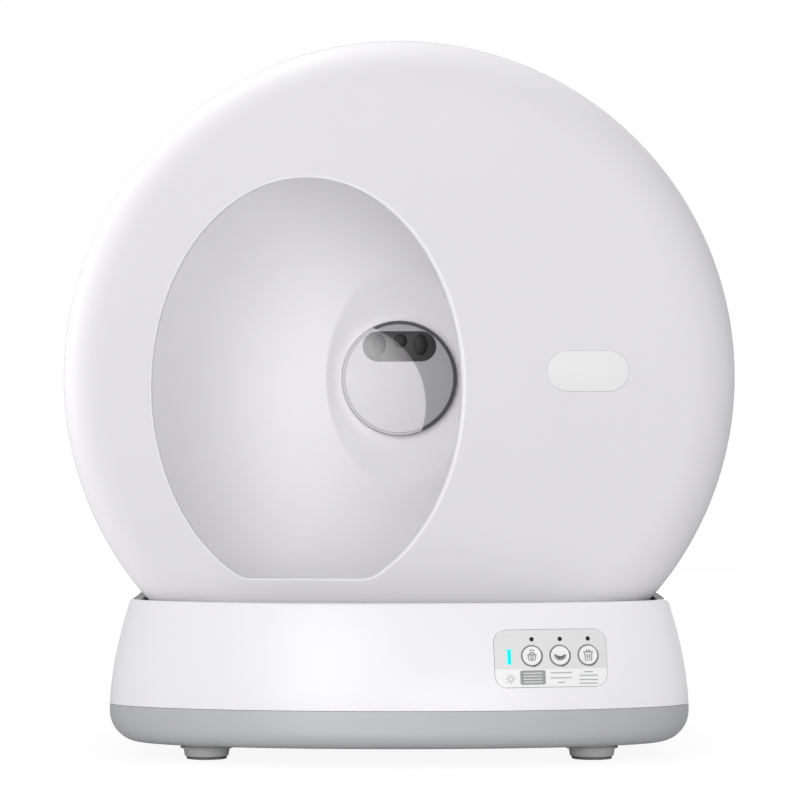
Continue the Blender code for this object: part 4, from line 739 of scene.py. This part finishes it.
def front_shell():
    """The drum's front: rays from the entry's middle cross the flat face to the rounded edge and band.

    The edge is a quarter ellipse, (R - reach + reach sin t, face + depth (1 - cos t)), then the
    band runs straight back.
    """
    outline = lip_line(LIP_WIDTH)
    middle = np.array([ENTRY_SHIFT, -ENTRY_DROP])
    ray = outline - middle
    ray /= np.linalg.norm(ray, axis=1)[:, None]
    across = ray @ middle
    flat_radius = DRUM_RADIUS - EDGE_REACH
    reach = -across + np.sqrt(across**2 - middle @ middle + flat_radius**2)
    rim = middle + reach[:, None] * ray
    share = np.linspace(0, 1, 13)[:, None, None]
    face = about_axle(outline + share * (rim - outline), FACE_Y)
    turn = np.linspace(0, np.pi / 2, 29)[1:]
    radius = np.concatenate([flat_radius + EDGE_REACH * np.sin(turn), np.full(16, DRUM_RADIUS)])
    band = np.linspace(FACE_Y + EDGE_DEPTH, BAND_END_Y, 17)[1:]
    depth = np.concatenate([FACE_Y + EDGE_DEPTH * (1 - np.cos(turn)), band])
    edge = about_axle(radius[:, None, None] * rim / flat_radius, depth[:, None])
    piece("front_shell", [patch(np.concatenate([face, edge]))], ["drum_front_shell"], "drum_white",
          "drum", wall=DRUM_WALL)


def entry_lip():
    """The entry's rolled edge: a section with one large round, carried along the entry's outline."""
    back_y = FACE_Y + LIP_REACH
    section = filleted([(LIP_WIDTH, FACE_Y), (0, FACE_Y), (0, back_y), (LIP_WIDTH, back_y), (LIP_WIDTH, FACE_Y)],
                       [LIP_ROUND, 0.0005, 0.0005], steps=8)
    rings = [about_axle(lip_line(reach), y) for reach, y in section]
    piece("entry_lip", [patch(np.stack(rings))], ["entry_trim"], "lip_white", "drum")


def badge():
    """The bare pill-shaped plate on the face."""
    low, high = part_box("badge_plate")
    place = ((low.x + high.x) / 2, high.y, (low.z + high.z) / 2), FRONT
    width, height, thick = high.x - low.x, high.z - low.z, high.y - low.y
    section = [(0, 0), (0, thick * 0.5), (thick * 0.2, thick * 0.85), (thick * 0.7, thick)]
    piece("badge_pill", [plate(width, height, height / 2, section, place)], ["badge_plate"], "badge_white", "drum")


def bowl():
    """The drum's inner wall: lap, round bowl, soft oval recess, collar and the waste port.

    The bowl is r = 0.122 + 0.166 cos f, y = -0.0643 + 0.190 sin f. The recess goes from an oval to a
    circle while its depth rises as s2 / 2e up to s = e and then straight. Columns are spread so that
    the port's sides stand at a fixed x in every row.
    """
    port_angles = [math.asin((y - BOWL_Y) / BOWL_DEPTH) for y in (PORT_FRONT_Y, PORT_REAR_Y)]
    turn = stations([0, *port_angles, np.pi / 2], math.radians(2))
    bowl_radius = BOWL_FLAT_RADIUS + (BOWL_RADIUS - BOWL_FLAT_RADIUS) * np.cos(turn)
    radius = np.concatenate([[LAP_RADIUS, LAP_RADIUS, BOWL_RADIUS], bowl_radius])
    depth = np.concatenate([[LAP_START_Y, SHOULDER_Y, SHOULDER_Y], BOWL_Y + BOWL_DEPTH * np.sin(turn)])

    spread = stations([-1, 1], 0.1)
    rest = stations([0, 1], 1 / 150)[1:]
    port_turn = np.arcsin(np.clip(PORT_HALF_WIDTH / radius, 0, 1))[:, None]
    beyond = port_turn + rest[:-1] * (np.pi - port_turn)
    columns = np.hstack([spread * port_turn, beyond, port_turn * 0 + np.pi, -beyond[:, ::-1]])
    rows = (depth[:-1] >= PORT_FRONT_Y - MERGE) & (depth[1:] <= PORT_REAR_Y + MERGE)
    port = rows[:, None] & (np.arange(columns.shape[1]) < len(spread) - 1)
    wall = patch(round_axle(radius[:, None], columns, depth), keep=~port)

    last, flat_y = columns[-1], depth[-1]
    oval = 1 / np.sqrt((np.sin(last) / RECESS_HALF_WIDTH) ** 2 + (np.cos(last) / RECESS_HALF_HEIGHT) ** 2)
    flat_radius = BOWL_FLAT_RADIUS + np.linspace(0, 1, 5)[:, None] * (oval - BOWL_FLAT_RADIUS)
    share = np.linspace(0, 1, 25)[1:, None]
    soft = RECESS_SOFTNESS_SHARE
    fall = np.where(share < soft, share**2 / (2 * soft), share - soft / 2) / (1 - soft / 2)
    recess_radius = oval + share * (RECESS_FLOOR_RADIUS - oval)
    end_y = flat_y + RECESS_DEPTH
    collar = np.array([[COLLAR_RADIUS + 0.0002, end_y + 0.0002], [COLLAR_RADIUS, end_y + 0.0008],
                       [COLLAR_RADIUS, end_y + COLLAR_LENGTH]])
    inner_radius = np.concatenate([flat_radius, recess_radius, collar[:, :1] + 0 * last])
    inner_y = np.concatenate([np.full(5, flat_y), flat_y + RECESS_DEPTH * fall[:, 0], collar[:, 1]])
    recess = patch(round_axle(inner_radius, last, inner_y))
    piece("bowl_wall", [wall, recess], ["drum_bowl"], "bowl_white", "drum", "in", DRUM_WALL, 0.0006)


# Hub

def hub():
    """Ring, sleeve, disc, smoked window and three domed lenses, facing out of the entry."""
    ring_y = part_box("hub_ring")[1].y
    disc_low, disc_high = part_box("hub_disc")
    inner, outer, foot = RING_INNER_RADIUS, RING_OUTER_RADIUS, 0.0536
    ring = filleted([(inner, 0), (inner, 0.0028), (outer, 0.0027), (outer, 0.0018), (foot, 0.0018), (foot, 0),
                     (inner, 0)], [0.0004, 0.0004, 0, 0, 0])
    sleeve = [(0.0539, 0.0017), (outer, 0.0017), (outer, SLEEVE_BACK), (0.0539, SLEEVE_BACK), (0.0539, 0.0017)]
    thick = disc_high.y - disc_low.y - 0.00035
    disc = filleted([(0, 0), (disc_high.x, 0), (disc_high.x, thick), (0, thick)], [0.0, 0.0006])
    for name, replaced, profile, y, finish in (
        ("hub_bezel", ["hub_ring"], ring, ring_y, "hub_ring_grey"),
        ("hub_sleeve", [], sleeve, ring_y, "bowl_white"),
        ("hub_face", ["hub_disc"], disc, disc_high.y, "hub_disc_grey"),
    ):
        piece(name, [turned(profile, ((0, y, AXLE_Z), FRONT), HUB_STEPS)], replaced, finish)
    place = (0.0002, disc_low.y + 0.0004, AXLE_Z + WINDOW_RISE), FRONT
    glass = plate(WINDOW_WIDTH, WINDOW_HEIGHT, WINDOW_HEIGHT / 2, [(0, 0), (0, 0.0003), (0.0002, 0.0004)], place)
    piece("window_glass", [glass], ["sensor_window"], "window_smoke")
    for name, x, rise, wide, high in (
        ("left", -0.0199, 0.0322, 0.0067, 0.0102),
        ("middle", 0.0010, 0.0361, 0.0066, 0.0066),
        ("right", 0.0207, 0.0322, 0.0067, 0.0102),
    ):
        axes = FRONT * np.array([[wide / high], [1], [1]])
        lens = turned(dome(high, 0.0001, 0.0008, -0.0002, 12), ((x, disc_low.y, AXLE_Z + rise), axes))
        piece(f"lens_{name}_dome", [lens], [f"lens_{name}"], "lens_smoke")


# Rear housing

def rear_housing():
    """The fixed cover behind the drum: r = 0.170 + 0.128 cos a, y = -0.057 + depth sin a, flat back.

    Each row stops where it meets the deck: its half angle is the arc cosine of the foot's height
    below the axle over the row's radius, with its sign turned.
    """
    foot = AXLE_Z - HOUSING_FOOT_Z
    span = HOUSING_RADIUS - HOUSING_FLAT_RADIUS
    meets = math.acos((foot - HOUSING_FLAT_RADIUS) / span)
    above, below = np.linspace(0, meets, 34), meets + (np.pi / 2 - meets) * np.linspace(0, 1, 16)
    turn = np.unique(np.concatenate([above, below]))
    radius = np.concatenate([HOUSING_FLAT_RADIUS + span * np.cos(turn), [0.12, 0.06, 0.0]])
    depth = HOUSING_Y + HOUSING_DEPTH * np.concatenate([np.sin(turn), np.ones(3)])
    limit = np.where(radius > foot, np.arccos(np.clip(-foot / np.maximum(radius, foot), -1, 1)), np.pi)
    grid = round_axle(radius[:, None], np.linspace(-1, 1, 201) * limit[:, None], depth)
    piece("housing_cover", [patch(grid, around=False)], ["rear_housing"], "housing_white",
          facing=(0, 1, 0), wall=DRUM_WALL, edge=0.0008)


# Base

# Stations along the straight sides, with the power inlet's, and across the rear, with the drawer's
SIDE_COLUMNS = stations([-BASE_STRAIGHT, 0.088, 0.132, BASE_STRAIGHT], 0.004)
REAR_COLUMNS = stations([-FLAT_COLUMN, -DOOR_OPENING, DOOR_OPENING, FLAT_COLUMN], 0.006)


def inlet_landing(points):
    """A flat round landing for the power inlet: x blends to the inlet's own within 11 to 17 mm of it."""
    low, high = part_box("power_inlet")
    centre_y, centre_z = (low.y + high.y) / 2, (low.z + high.z) / 2
    distance = np.hypot(points[..., 1] - centre_y, points[..., 2] - centre_z)
    share = np.clip((INLET_REACH - distance) / INLET_BLEND, 0, 1)
    share = np.where(points[..., 0] < 0, share**2 * (3 - 2 * share), 0)
    points[..., 0] += share * (-float(half_width(centre_z)) - points[..., 0])
    return points


def base_shell():
    """The white upper shell: belt rows up the flared side, a rounded rim and its flat top."""
    top = RIM_Z - RIM_ROUND
    left, right, low, high = 0.0765, 0.1895, 0.0605, 0.1275  # the block of cells round the panel
    rows = stations([PART_Z + SEAT_GAP / 2, low, DOOR_OPENING_TOP, high, top], 0.0025)
    rim_half = float(half_width(RIM_Z))
    seal_edge = rim_half - RIM_WHITE_WIDTH
    bend = filleted([(half_width(top), top), (rim_half, RIM_Z), (seal_edge, RIM_Z)], [RIM_ROUND])[1:-1]
    widths = np.concatenate([half_width(rows), bend[:, 0], np.linspace(bend[-1, 0], seal_edge, 5)[1:]])
    heights = np.concatenate([rows, bend[:, 1], np.full(4, RIM_Z)])
    front = stations([-FLAT_COLUMN, left, right, FLAT_COLUMN], 0.005)
    grid = inlet_landing(belt(heights, widths, front, REAR_COLUMNS, SIDE_COLUMNS))
    x, y, z = cell_middles(grid)
    panel = (y < 0) & (x > left) & (x < right) & (z > low) & (z < high)
    door = (y > BASE_STRAIGHT) & (abs(x) < DOOR_OPENING) & (z < DOOR_OPENING_TOP)

    def to_grid(plane):
        return on_panel(plane, 0)[..., [0, 2]]

    size = (PANEL_WIDTH + 2 * SEAT_GAP, PANEL_HEIGHT + 2 * SEAT_GAP, PANEL_CORNER + SEAT_GAP)
    hole = block_frame(within(front, left, right), within(rows, low, high), *size,
                       centre=(0, PANEL_LIFT), to_grid=to_grid)
    patches = [patch(grid, keep=~(panel | door)), patch(on_front(hole))]
    piece("base_skin", patches, ["base_shell"], "base_white", wall=BASE_WALL, edge=0.0005)


def rim_seal():
    """The grey seal that lines the rim round the drum, a flat ring with a rounded outer edge."""
    rim_half = float(half_width(RIM_Z))
    outer, inner = rim_half - RIM_WHITE_WIDTH - SEAT_GAP, rim_half - RIM_WIDTH
    high = RIM_Z - SEAL_DROP
    low = high - SEAL_HEIGHT
    section = filleted([(outer, low), (outer, high), (inner, high), (inner, low), (outer, low)], [0.0008, 0.0008])
    columns = stations([-FLAT_COLUMN, FLAT_COLUMN], 0.01)
    rings = belt(section[:, 1], section[:, 0], columns, columns, stations([-BASE_STRAIGHT, BASE_STRAIGHT], 0.02))
    piece("rim_seal", [patch(rings)], [], "seal_grey")


def base_tray():
    """The grey tray: belt rows down the side and round the corner, closed by a flat bottom."""
    corner_z = FOOT_HEIGHT + BASE_CORNER
    turn = stations([0, math.asin((corner_z - TRAY_NOTCH_Z) / BASE_CORNER), np.pi / 2], math.radians(5))
    side = stations([PART_Z - SEAT_GAP / 2, corner_z], 0.002)[:-1]
    heights = np.concatenate([side, corner_z - BASE_CORNER * np.sin(turn)])
    widths = np.concatenate([half_width(side), SEAM_HALF_WIDTH - BASE_CORNER + BASE_CORNER * np.cos(turn)])
    drop = np.clip(FOOT_HEIGHT + FRONT_CORNER - heights, 0, FRONT_CORNER)
    tight = FRONT_CORNER - np.sqrt(FRONT_CORNER**2 - drop**2)
    gain = np.clip(SEAM_HALF_WIDTH - widths - tight, 0, None)
    front = stations([-FLAT_COLUMN, FLAT_COLUMN], 0.006)
    rings = belt(heights, widths, front, REAR_COLUMNS, SIDE_COLUMNS, gain)
    bottom = rings[-1] * np.array([0.75, 0.4, 0.0])[:, None, None]
    bottom[..., 2] = FOOT_HEIGHT
    grid = np.concatenate([rings, bottom])
    x, y, z = cell_middles(grid)
    door = (y > BASE_STRAIGHT) & (abs(x) < DOOR_OPENING) & (z > TRAY_NOTCH_Z)
    piece("tray_skin", [patch(grid, keep=~door)], ["base_tray"], "tray_grey", wall=TRAY_WALL, edge=0.0004)


def drawer_front():
    """The waste drawer's front, cut from the base's rear form, with its pill-shaped grip hole."""
    side, low, high = 0.055, 0.0925, 0.1180  # the block of cells round the grip
    columns = stations([-DOOR_HALF_WIDTH, -side, side, DOOR_HALF_WIDTH], 0.005)
    rows = stations([DOOR_LOW_Z, 0.03, low, high, DOOR_HIGH_Z], 0.0025)
    x, z = middles(columns), middles(rows)[:, None]
    grip = (abs(x) < side) & (z > low) & (z < high)
    hole = block_frame(within(columns, -side, side), within(rows, low, high), GRIP_WIDTH, GRIP_HEIGHT,
                       GRIP_HEIGHT / 2 - 0.0001, centre=(0, GRIP_Z))
    plane = joined(columns, rows[:, None])
    patches = [patch(on_front(plane, 1), around=False, keep=~grip), patch(on_front(hole, 1))]
    piece("drawer_front", patches, ["drawer_door"], "base_white", "drawer", (0, 1, 0), DOOR_WALL, 0.0008)


def feet():
    """Round feet with a thin flange, and their rubber pads."""
    for corner in ("front_left", "front_right", "rear_left", "rear_right"):
        low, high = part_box(f"foot_{corner}")
        pad_low, pad_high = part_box(f"foot_pad_{corner}")
        place = ((low.x + high.x) / 2, (low.y + high.y) / 2, 0), UPRIGHT
        flange, pad = (high.x - low.x) / 2, (pad_high.x - pad_low.x) / 2
        foot_profile = filleted(
            [(0, FOOT_HEIGHT), (0.0200, FOOT_HEIGHT), (0.0200, 0.0112), (flange, 0.0110), (flange, 0.0096),
             (0.0206, 0.0092), (0.0194, low.z), (0, low.z)], [0, 0.0008, 0.0005, 0.0005, 0.0008, 0.0012])
        pad_profile = filleted([(0, pad_high.z), (pad, pad_high.z), (pad, 0), (0, 0)], [0.0003, 0.0006])
        piece(f"foot_{corner}_cup", [turned(foot_profile, place)], [f"foot_{corner}"], "foot_grey")
        piece(f"foot_{corner}_pad", [turned(pad_profile, place)], [f"foot_pad_{corner}"], "pad_grey")


# Control panel

def button_xz(index):
    """A button's x and z on the base's front."""
    return PANEL_X + BUTTON_SHIFT + (index - 1) * BUTTON_SPACING, PANEL_Z + BUTTON_RISE


def flat_place(x, z):
    """A point of the front as (across, up) on the panel's flat drawing."""
    origin, axes = PANEL_PLACE
    return (np.array([x, float(front_y(x, z)), z]) - origin) @ axes[:2].T


def control_panel():
    """The panel's plate: a grid with three round holes, framed out to its rounded outline."""
    centres = np.array([flat_place(*button_xz(index)) for index in range(3)])
    half = BUTTON_CELL
    up = centres[:, 1].mean()
    column_edges = [-0.044, *np.ravel(centres[:, :1] + [-half, half])]
    columns = stations(column_edges + [column_edges[-1] + 0.0008], 0.0013)
    rows = stations([-0.0215, up - half, up + half, 0.0215], 0.0013)
    near = (abs(middles(columns)[:, None] - centres[:, 0]) < half).any(1)
    holes = (abs(middles(rows) - up) < half)[:, None] & near
    patches = [patch(on_panel(joined(columns, rows[:, None])), around=False, keep=~holes)]
    radius = BUTTON_RADIUS + SEAT_GAP
    for centre in centres:
        block = within(columns, centre[0] - half, centre[0] + half), within(rows, up - half, up + half)
        hole = block_frame(*block, 2 * radius, 2 * radius, radius, centre=centre, rings=3)
        patches.append(patch(on_panel(hole)))
    border = block_frame(columns, rows, PANEL_WIDTH, PANEL_HEIGHT, PANEL_CORNER, (0, PANEL_LIFT))
    patches.append(patch(on_panel(border)))
    piece("panel_plate", patches, ["control_panel"], "panel_film",
          facing=(0, -1, 0), wall=PANEL_WALL, edge=0.0003)


def buttons_and_lamps():
    """Three dished buttons and three lamps, each on its own normal, and the light bar."""
    front, back, stop, stem = 0.0016, -0.0029, -0.0041, -0.0120
    button = filleted(
        [(0, 0.0013), (0.0062, 0.00135), (0.0074, front), (BUTTON_RADIUS, front), (BUTTON_RADIUS, back),
         (0.0102, back), (0.0102, stop), (0.003, stop), (0.003, stem), (0, stem)],
        [0.001, 0.0008, 0.0008, 0, 0, 0, 0, 0])
    lamp = dome(LAMP_RADIUS, 0.0003, 0.0004, -0.0057, 8)
    for index, name in enumerate(("clean", "level", "empty")):
        x, z = button_xz(index)
        cap, bulb = turned(button, surface_place(x, z)), turned(lamp, surface_place(x, PANEL_Z + LAMP_RISE), 32)
        piece(f"button_{name}_cap", [cap], [f"button_{name}"], "button_white", f"button_{name}_body")
        piece(f"lamp_{name}_dome", [bulb], [f"lamp_{name}"], "lamp_dark")
    section = [(0, -0.005), (0, 0.00035), (0.0002, 0.0005), (0.0006, 0.0005)]
    bar = plate(0.0035, 0.0138, 0.0012, section, surface_place(PANEL_X - 0.0371, PANEL_Z + 0.0020))
    piece("light_bar_lens", [bar], ["light_bar"], "light_bar_cyan")


def stroke(points, width, closed=False):
    """A line of a given width on a plane: its points moved half the width to each side."""
    points = np.asarray(points, float)
    if closed:
        points = np.vstack([points, points[:1]])
    ahead = np.gradient(points, axis=0)
    if closed:
        ahead[0] = ahead[-1] = points[1] - points[-2]
    ahead /= np.linalg.norm(ahead, axis=1)[:, None]
    aside = joined(-ahead[:, 1], ahead[:, 0]) * width / 2
    return np.stack([points - aside, points + aside])


def arc(centre, radius, start, end, steps=16):
    """Points of an arc, in degrees."""
    turn = np.radians(np.linspace(start, end, steps))
    return np.asarray(centre) + radius * joined(np.cos(turn), np.sin(turn))


def inked(name, grids, finish, body="base"):
    """Raised ink, a tenth of a millimetre thick, on grids of world points."""
    piece(name, [patch(grid, around=False) for grid in grids], [], finish, body, (0, -1, 0), INK)


def pictograms():
    """A basket, a bowl of litter and a bin, drawn on the buttons in thin lines, in millimetres."""
    basket = [
        [(-4.0, 0.8), (4.0, 0.8)],
        [(-3.6, 0.8), (-2.6, -4.0), (2.6, -4.0), (3.6, 0.8)],
        [(-1.0, 0.8), (-0.8, -3.8)],
        [(1.0, 0.8), (0.8, -3.8)],
        arc((0, 0.8), 2.2, 0, 180),
        [(-2.2, 4.2), (0, 5.4), (2.2, 4.2)],
    ]
    waste_bin = [
        [(-4.4, 2.6), (4.4, 2.6)],
        [(-1.6, 2.6), (-1.2, 4.2), (1.2, 4.2), (1.6, 2.6)],
        [(-3.4, 2.0), (-2.8, -4.6), (2.8, -4.6), (3.4, 2.0)],
        [(-1.2, 0.8), (-1.0, -3.2)],
        [(1.2, 0.8), (1.0, -3.2)],
    ]
    dip = 1.2 - 1.8 * np.sin(np.linspace(0, np.pi, 24))
    litter = np.stack([arc((0, 1.2), 4.6, 180, 360, 24), joined(np.linspace(-4.6, 4.6, 24), dip)])
    drawings = {"clean": ([], basket), "level": ([litter], [arc((0, 1.2), 5.3, 185, 355, 24)]),
                "empty": ([], waste_bin)}
    for index, (name, (areas, lines)) in enumerate(drawings.items()):
        place = surface_place(*button_xz(index))
        marks = areas + [stroke(line, 0.7) for line in lines]
        grids = [placed(np.insert(mark / 1000, 2, 0.00152, axis=-1), place) for mark in marks]
        inked(f"button_{name}_mark", grids, "mark_ink", f"button_{name}_body")


def panel_marks():
    """The panel's printed marks in millimetres: a dark ring round each button with an arc of painted shadow at its
    lower right, a sun, a grey tag and plain bars, with no lettering.
    """
    def printed(name, marks, finish, lift=0.0002):
        inked(name, [on_panel(mark / 1000, PANEL_PROUD + lift) for mark in marks], finish)

    def bars(across, places, thick=0.9):
        return [stroke([(across - half, up), (across + half, up)], thick) for up, half in places]

    rings = []
    for index in range(3):
        centre = flat_place(*button_xz(index)) * 1000
        # A dark ring round each button, and a thinner arc at its lower right that is painted shadow.
        rings += [stroke(arc(centre, 9.0, 0, 352.5, 48), 1.0, closed=True), stroke(arc(centre, 9.7, -85, 25, 20), 0.6)]
    printed("button_rings", rings, "ring_ink_and_painted_shadow")
    sun_at = np.array([-36.9, -17.1])
    sun = [stroke(arc(sun_at, 1.9, 0, 345, 24), 0.6, closed=True)]
    sun += [stroke([sun_at + 3.0 * ray, sun_at + 4.5 * ray], 0.6) for ray in arc((0, 0), 1, 0, 315, 8)]
    printed("sun_mark", sun, "mark_pale_ink")
    columns = bars(8.1, [(-12.25, 9.6), (-16.7, 9.6), (-20.7, 3.1)])
    columns += bars(33.2, [(-11.6, 3.8), (-14.7, 8.5), (-18.5, 8.5), (-21.6, 8.5)])
    printed("bar_marks", columns, "mark_pale_ink")
    tag = even_loop(22.6, 12.4, 1.6)
    share = np.linspace(0, 1, 6)[:, None, None]
    printed("tag_mark", [np.array([-17.3, -16.0]) + share * np.vstack([tag, tag[:1]])], "tag_ink")
    lines = bars(-17.3, [(up, 8.3) for up in (-12.3, -14.9, -17.5, -20.0)], 0.8)
    printed("tag_lines", lines, "tag_line_ink", 0.00032)


def dress_frame():
    """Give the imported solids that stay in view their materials."""
    finishes = {
        "sieve_grey": "sieve_screen waste_ramp",
        "gear_acetal": "ring_gear drive_pinion hub_bush",
        "deck_grey": "rear_deck",
        "frame_grey": "rear_frame roller_bracket_left roller_bracket_right",
        "gearbox_grey": "gearbox",
        "bin_grey": "waste_drawer",
        "inlet_black": "power_inlet",
        "rubber_black": "roller_left roller_right",
        "circuit_lacquer": "panel_board sensor_board main_board",
        "brushed_steel": "hub_tube drive_shaft roller_axle_left roller_axle_right",
        "zinc_steel": "motor drawer_rail_left drawer_rail_right hub_screw_1 hub_screw_2 hub_screw_3 hub_screw_4",
    }
    for finish, names in finishes.items():
        for name in names.split():
            for held in nodes[name].material_slots:
                held.material = FINISHES[finish]


# Studio

def world_light(level):
    """An even pale room: white to the camera and in reflections, and plainer as a light."""
    world = bpy.data.worlds.new("studio")
    bpy.context.scene.world = world
    world.use_nodes = True
    tree = world.node_tree
    path = add_node(tree, "ShaderNodeLightPath").outputs
    seen = add_math(tree, "MAXIMUM", path["Is Camera Ray"], path["Is Glossy Ray"])
    seen = add_math(tree, "MAXIMUM", seen, path["Is Transmission Ray"])
    strength = add_math(tree, "ADD", add_math(tree, "MULTIPLY", seen, 1 - level), level)
    feed(tree, tree.nodes["Background"], {"Color": (1, 1, 1, 1), "Strength": strength})


def area_light(name, place, target, size, power, shape="RECTANGLE", lit=""):
    """A soft light, wide and high as size says, that looks at a point; it may light one piece alone."""
    lamp = adjust(bpy.data.lights.new(name, "AREA"), shape=shape, size=size[0], size_y=size[1], energy=power)
    made = adjust(new_object(name, lamp), location=place,
                  rotation_euler=(Vector(target) - Vector(place)).to_track_quat("-Z", "Y").to_euler())
    if lit:
        made.light_linking.receiver_collection = bpy.data.collections.new(f"{name}_receivers")
        made.light_linking.receiver_collection.objects.link(bpy.data.objects[lit])


def floor():
    """The pale floor: it shows almost white to the camera and keeps the object's soft shadow."""
    reach = 6.0
    mesh = bpy.data.meshes.new("studio_floor")
    corners = [(-reach, -reach, 0), (reach, -reach, 0), (reach, reach, 0), (-reach, reach, 0)]
    mesh.from_pydata(corners, [], [(0, 1, 2, 3)])
    made = new_object("studio_floor", mesh)
    paint, tree, shader = new_material("studio_floor_paint")
    tree.nodes.remove(shader)
    seen = add_node(tree, "ShaderNodeLightPath").outputs["Is Camera Ray"]
    diffuse = add_node(tree, "ShaderNodeBsdfDiffuse", {"Color": (0.86, 0.86, 0.86, 1)})
    glow = add_node(tree, "ShaderNodeEmission", {"Color": (1, 1, 1, 1), "Strength": 1.08})
    share = add_math(tree, "MULTIPLY", seen, 0.85)
    mix = add_node(tree, "ShaderNodeMixShader", {0: share, 1: diffuse.outputs[0], 2: glow.outputs[0]})
    feed(tree, tree.nodes["Material Output"], {"Surface": mix.outputs[0]})
    mesh.materials.append(paint)


def camera():
    """The photograph's view: level, from straight ahead, through a long lens."""
    lens = adjust(bpy.data.cameras.new("view"), lens=171, sensor_width=36)
    made = adjust(new_object("view", lens), location=(0.0007, -3.545, 0.320), rotation_euler=(math.radians(90), 0, 0))
    bpy.context.scene.camera = made


for build in (front_shell, entry_lip, badge, bowl, hub, rear_housing, base_shell, rim_seal, base_tray, drawer_front,
              feet, control_panel, buttons_and_lamps, pictograms, panel_marks, dress_frame):
    build()

world_light(0.565)
area_light("key_front_left", (-0.70, -3.10, 0.86), (0, -0.2, 0.26), (0.9, 2.2), 29)
area_light("fill_front_right", (0.60, -3.40, 0.30), (0.1, 0, 0.15), (1.2, 0.6), 14.5)
area_light("rim_left", (-3.00, 0.50, 0.25), (0, -0.1, 0.30), (1.4, 1.4), 70, lit="front_shell")
area_light("rim_top", (-0.90, 0.70, 3.20), (0, -0.1, 0.34), (1.4, 1.4), 50, lit="front_shell")
area_light("tray_soft", (-0.55, -2.40, 0.22), (0, -0.24, 0.04), (0.6, 0.35), 9, lit="tray_skin")
area_light("back_soft", (0.70, 3.20, 1.00), (0, 0, 0.30), (1.6, 1.6), 20)
area_light("entry_fill", (ENTRY_SHIFT - 0.02, -0.140, AXLE_Z + 0.045), (ENTRY_SHIFT, 0, AXLE_Z + 0.05),
           (0.21, 0.24), 0.195, "ELLIPSE")
floor()
camera()
bpy.context.scene.view_settings.view_transform = "Standard"
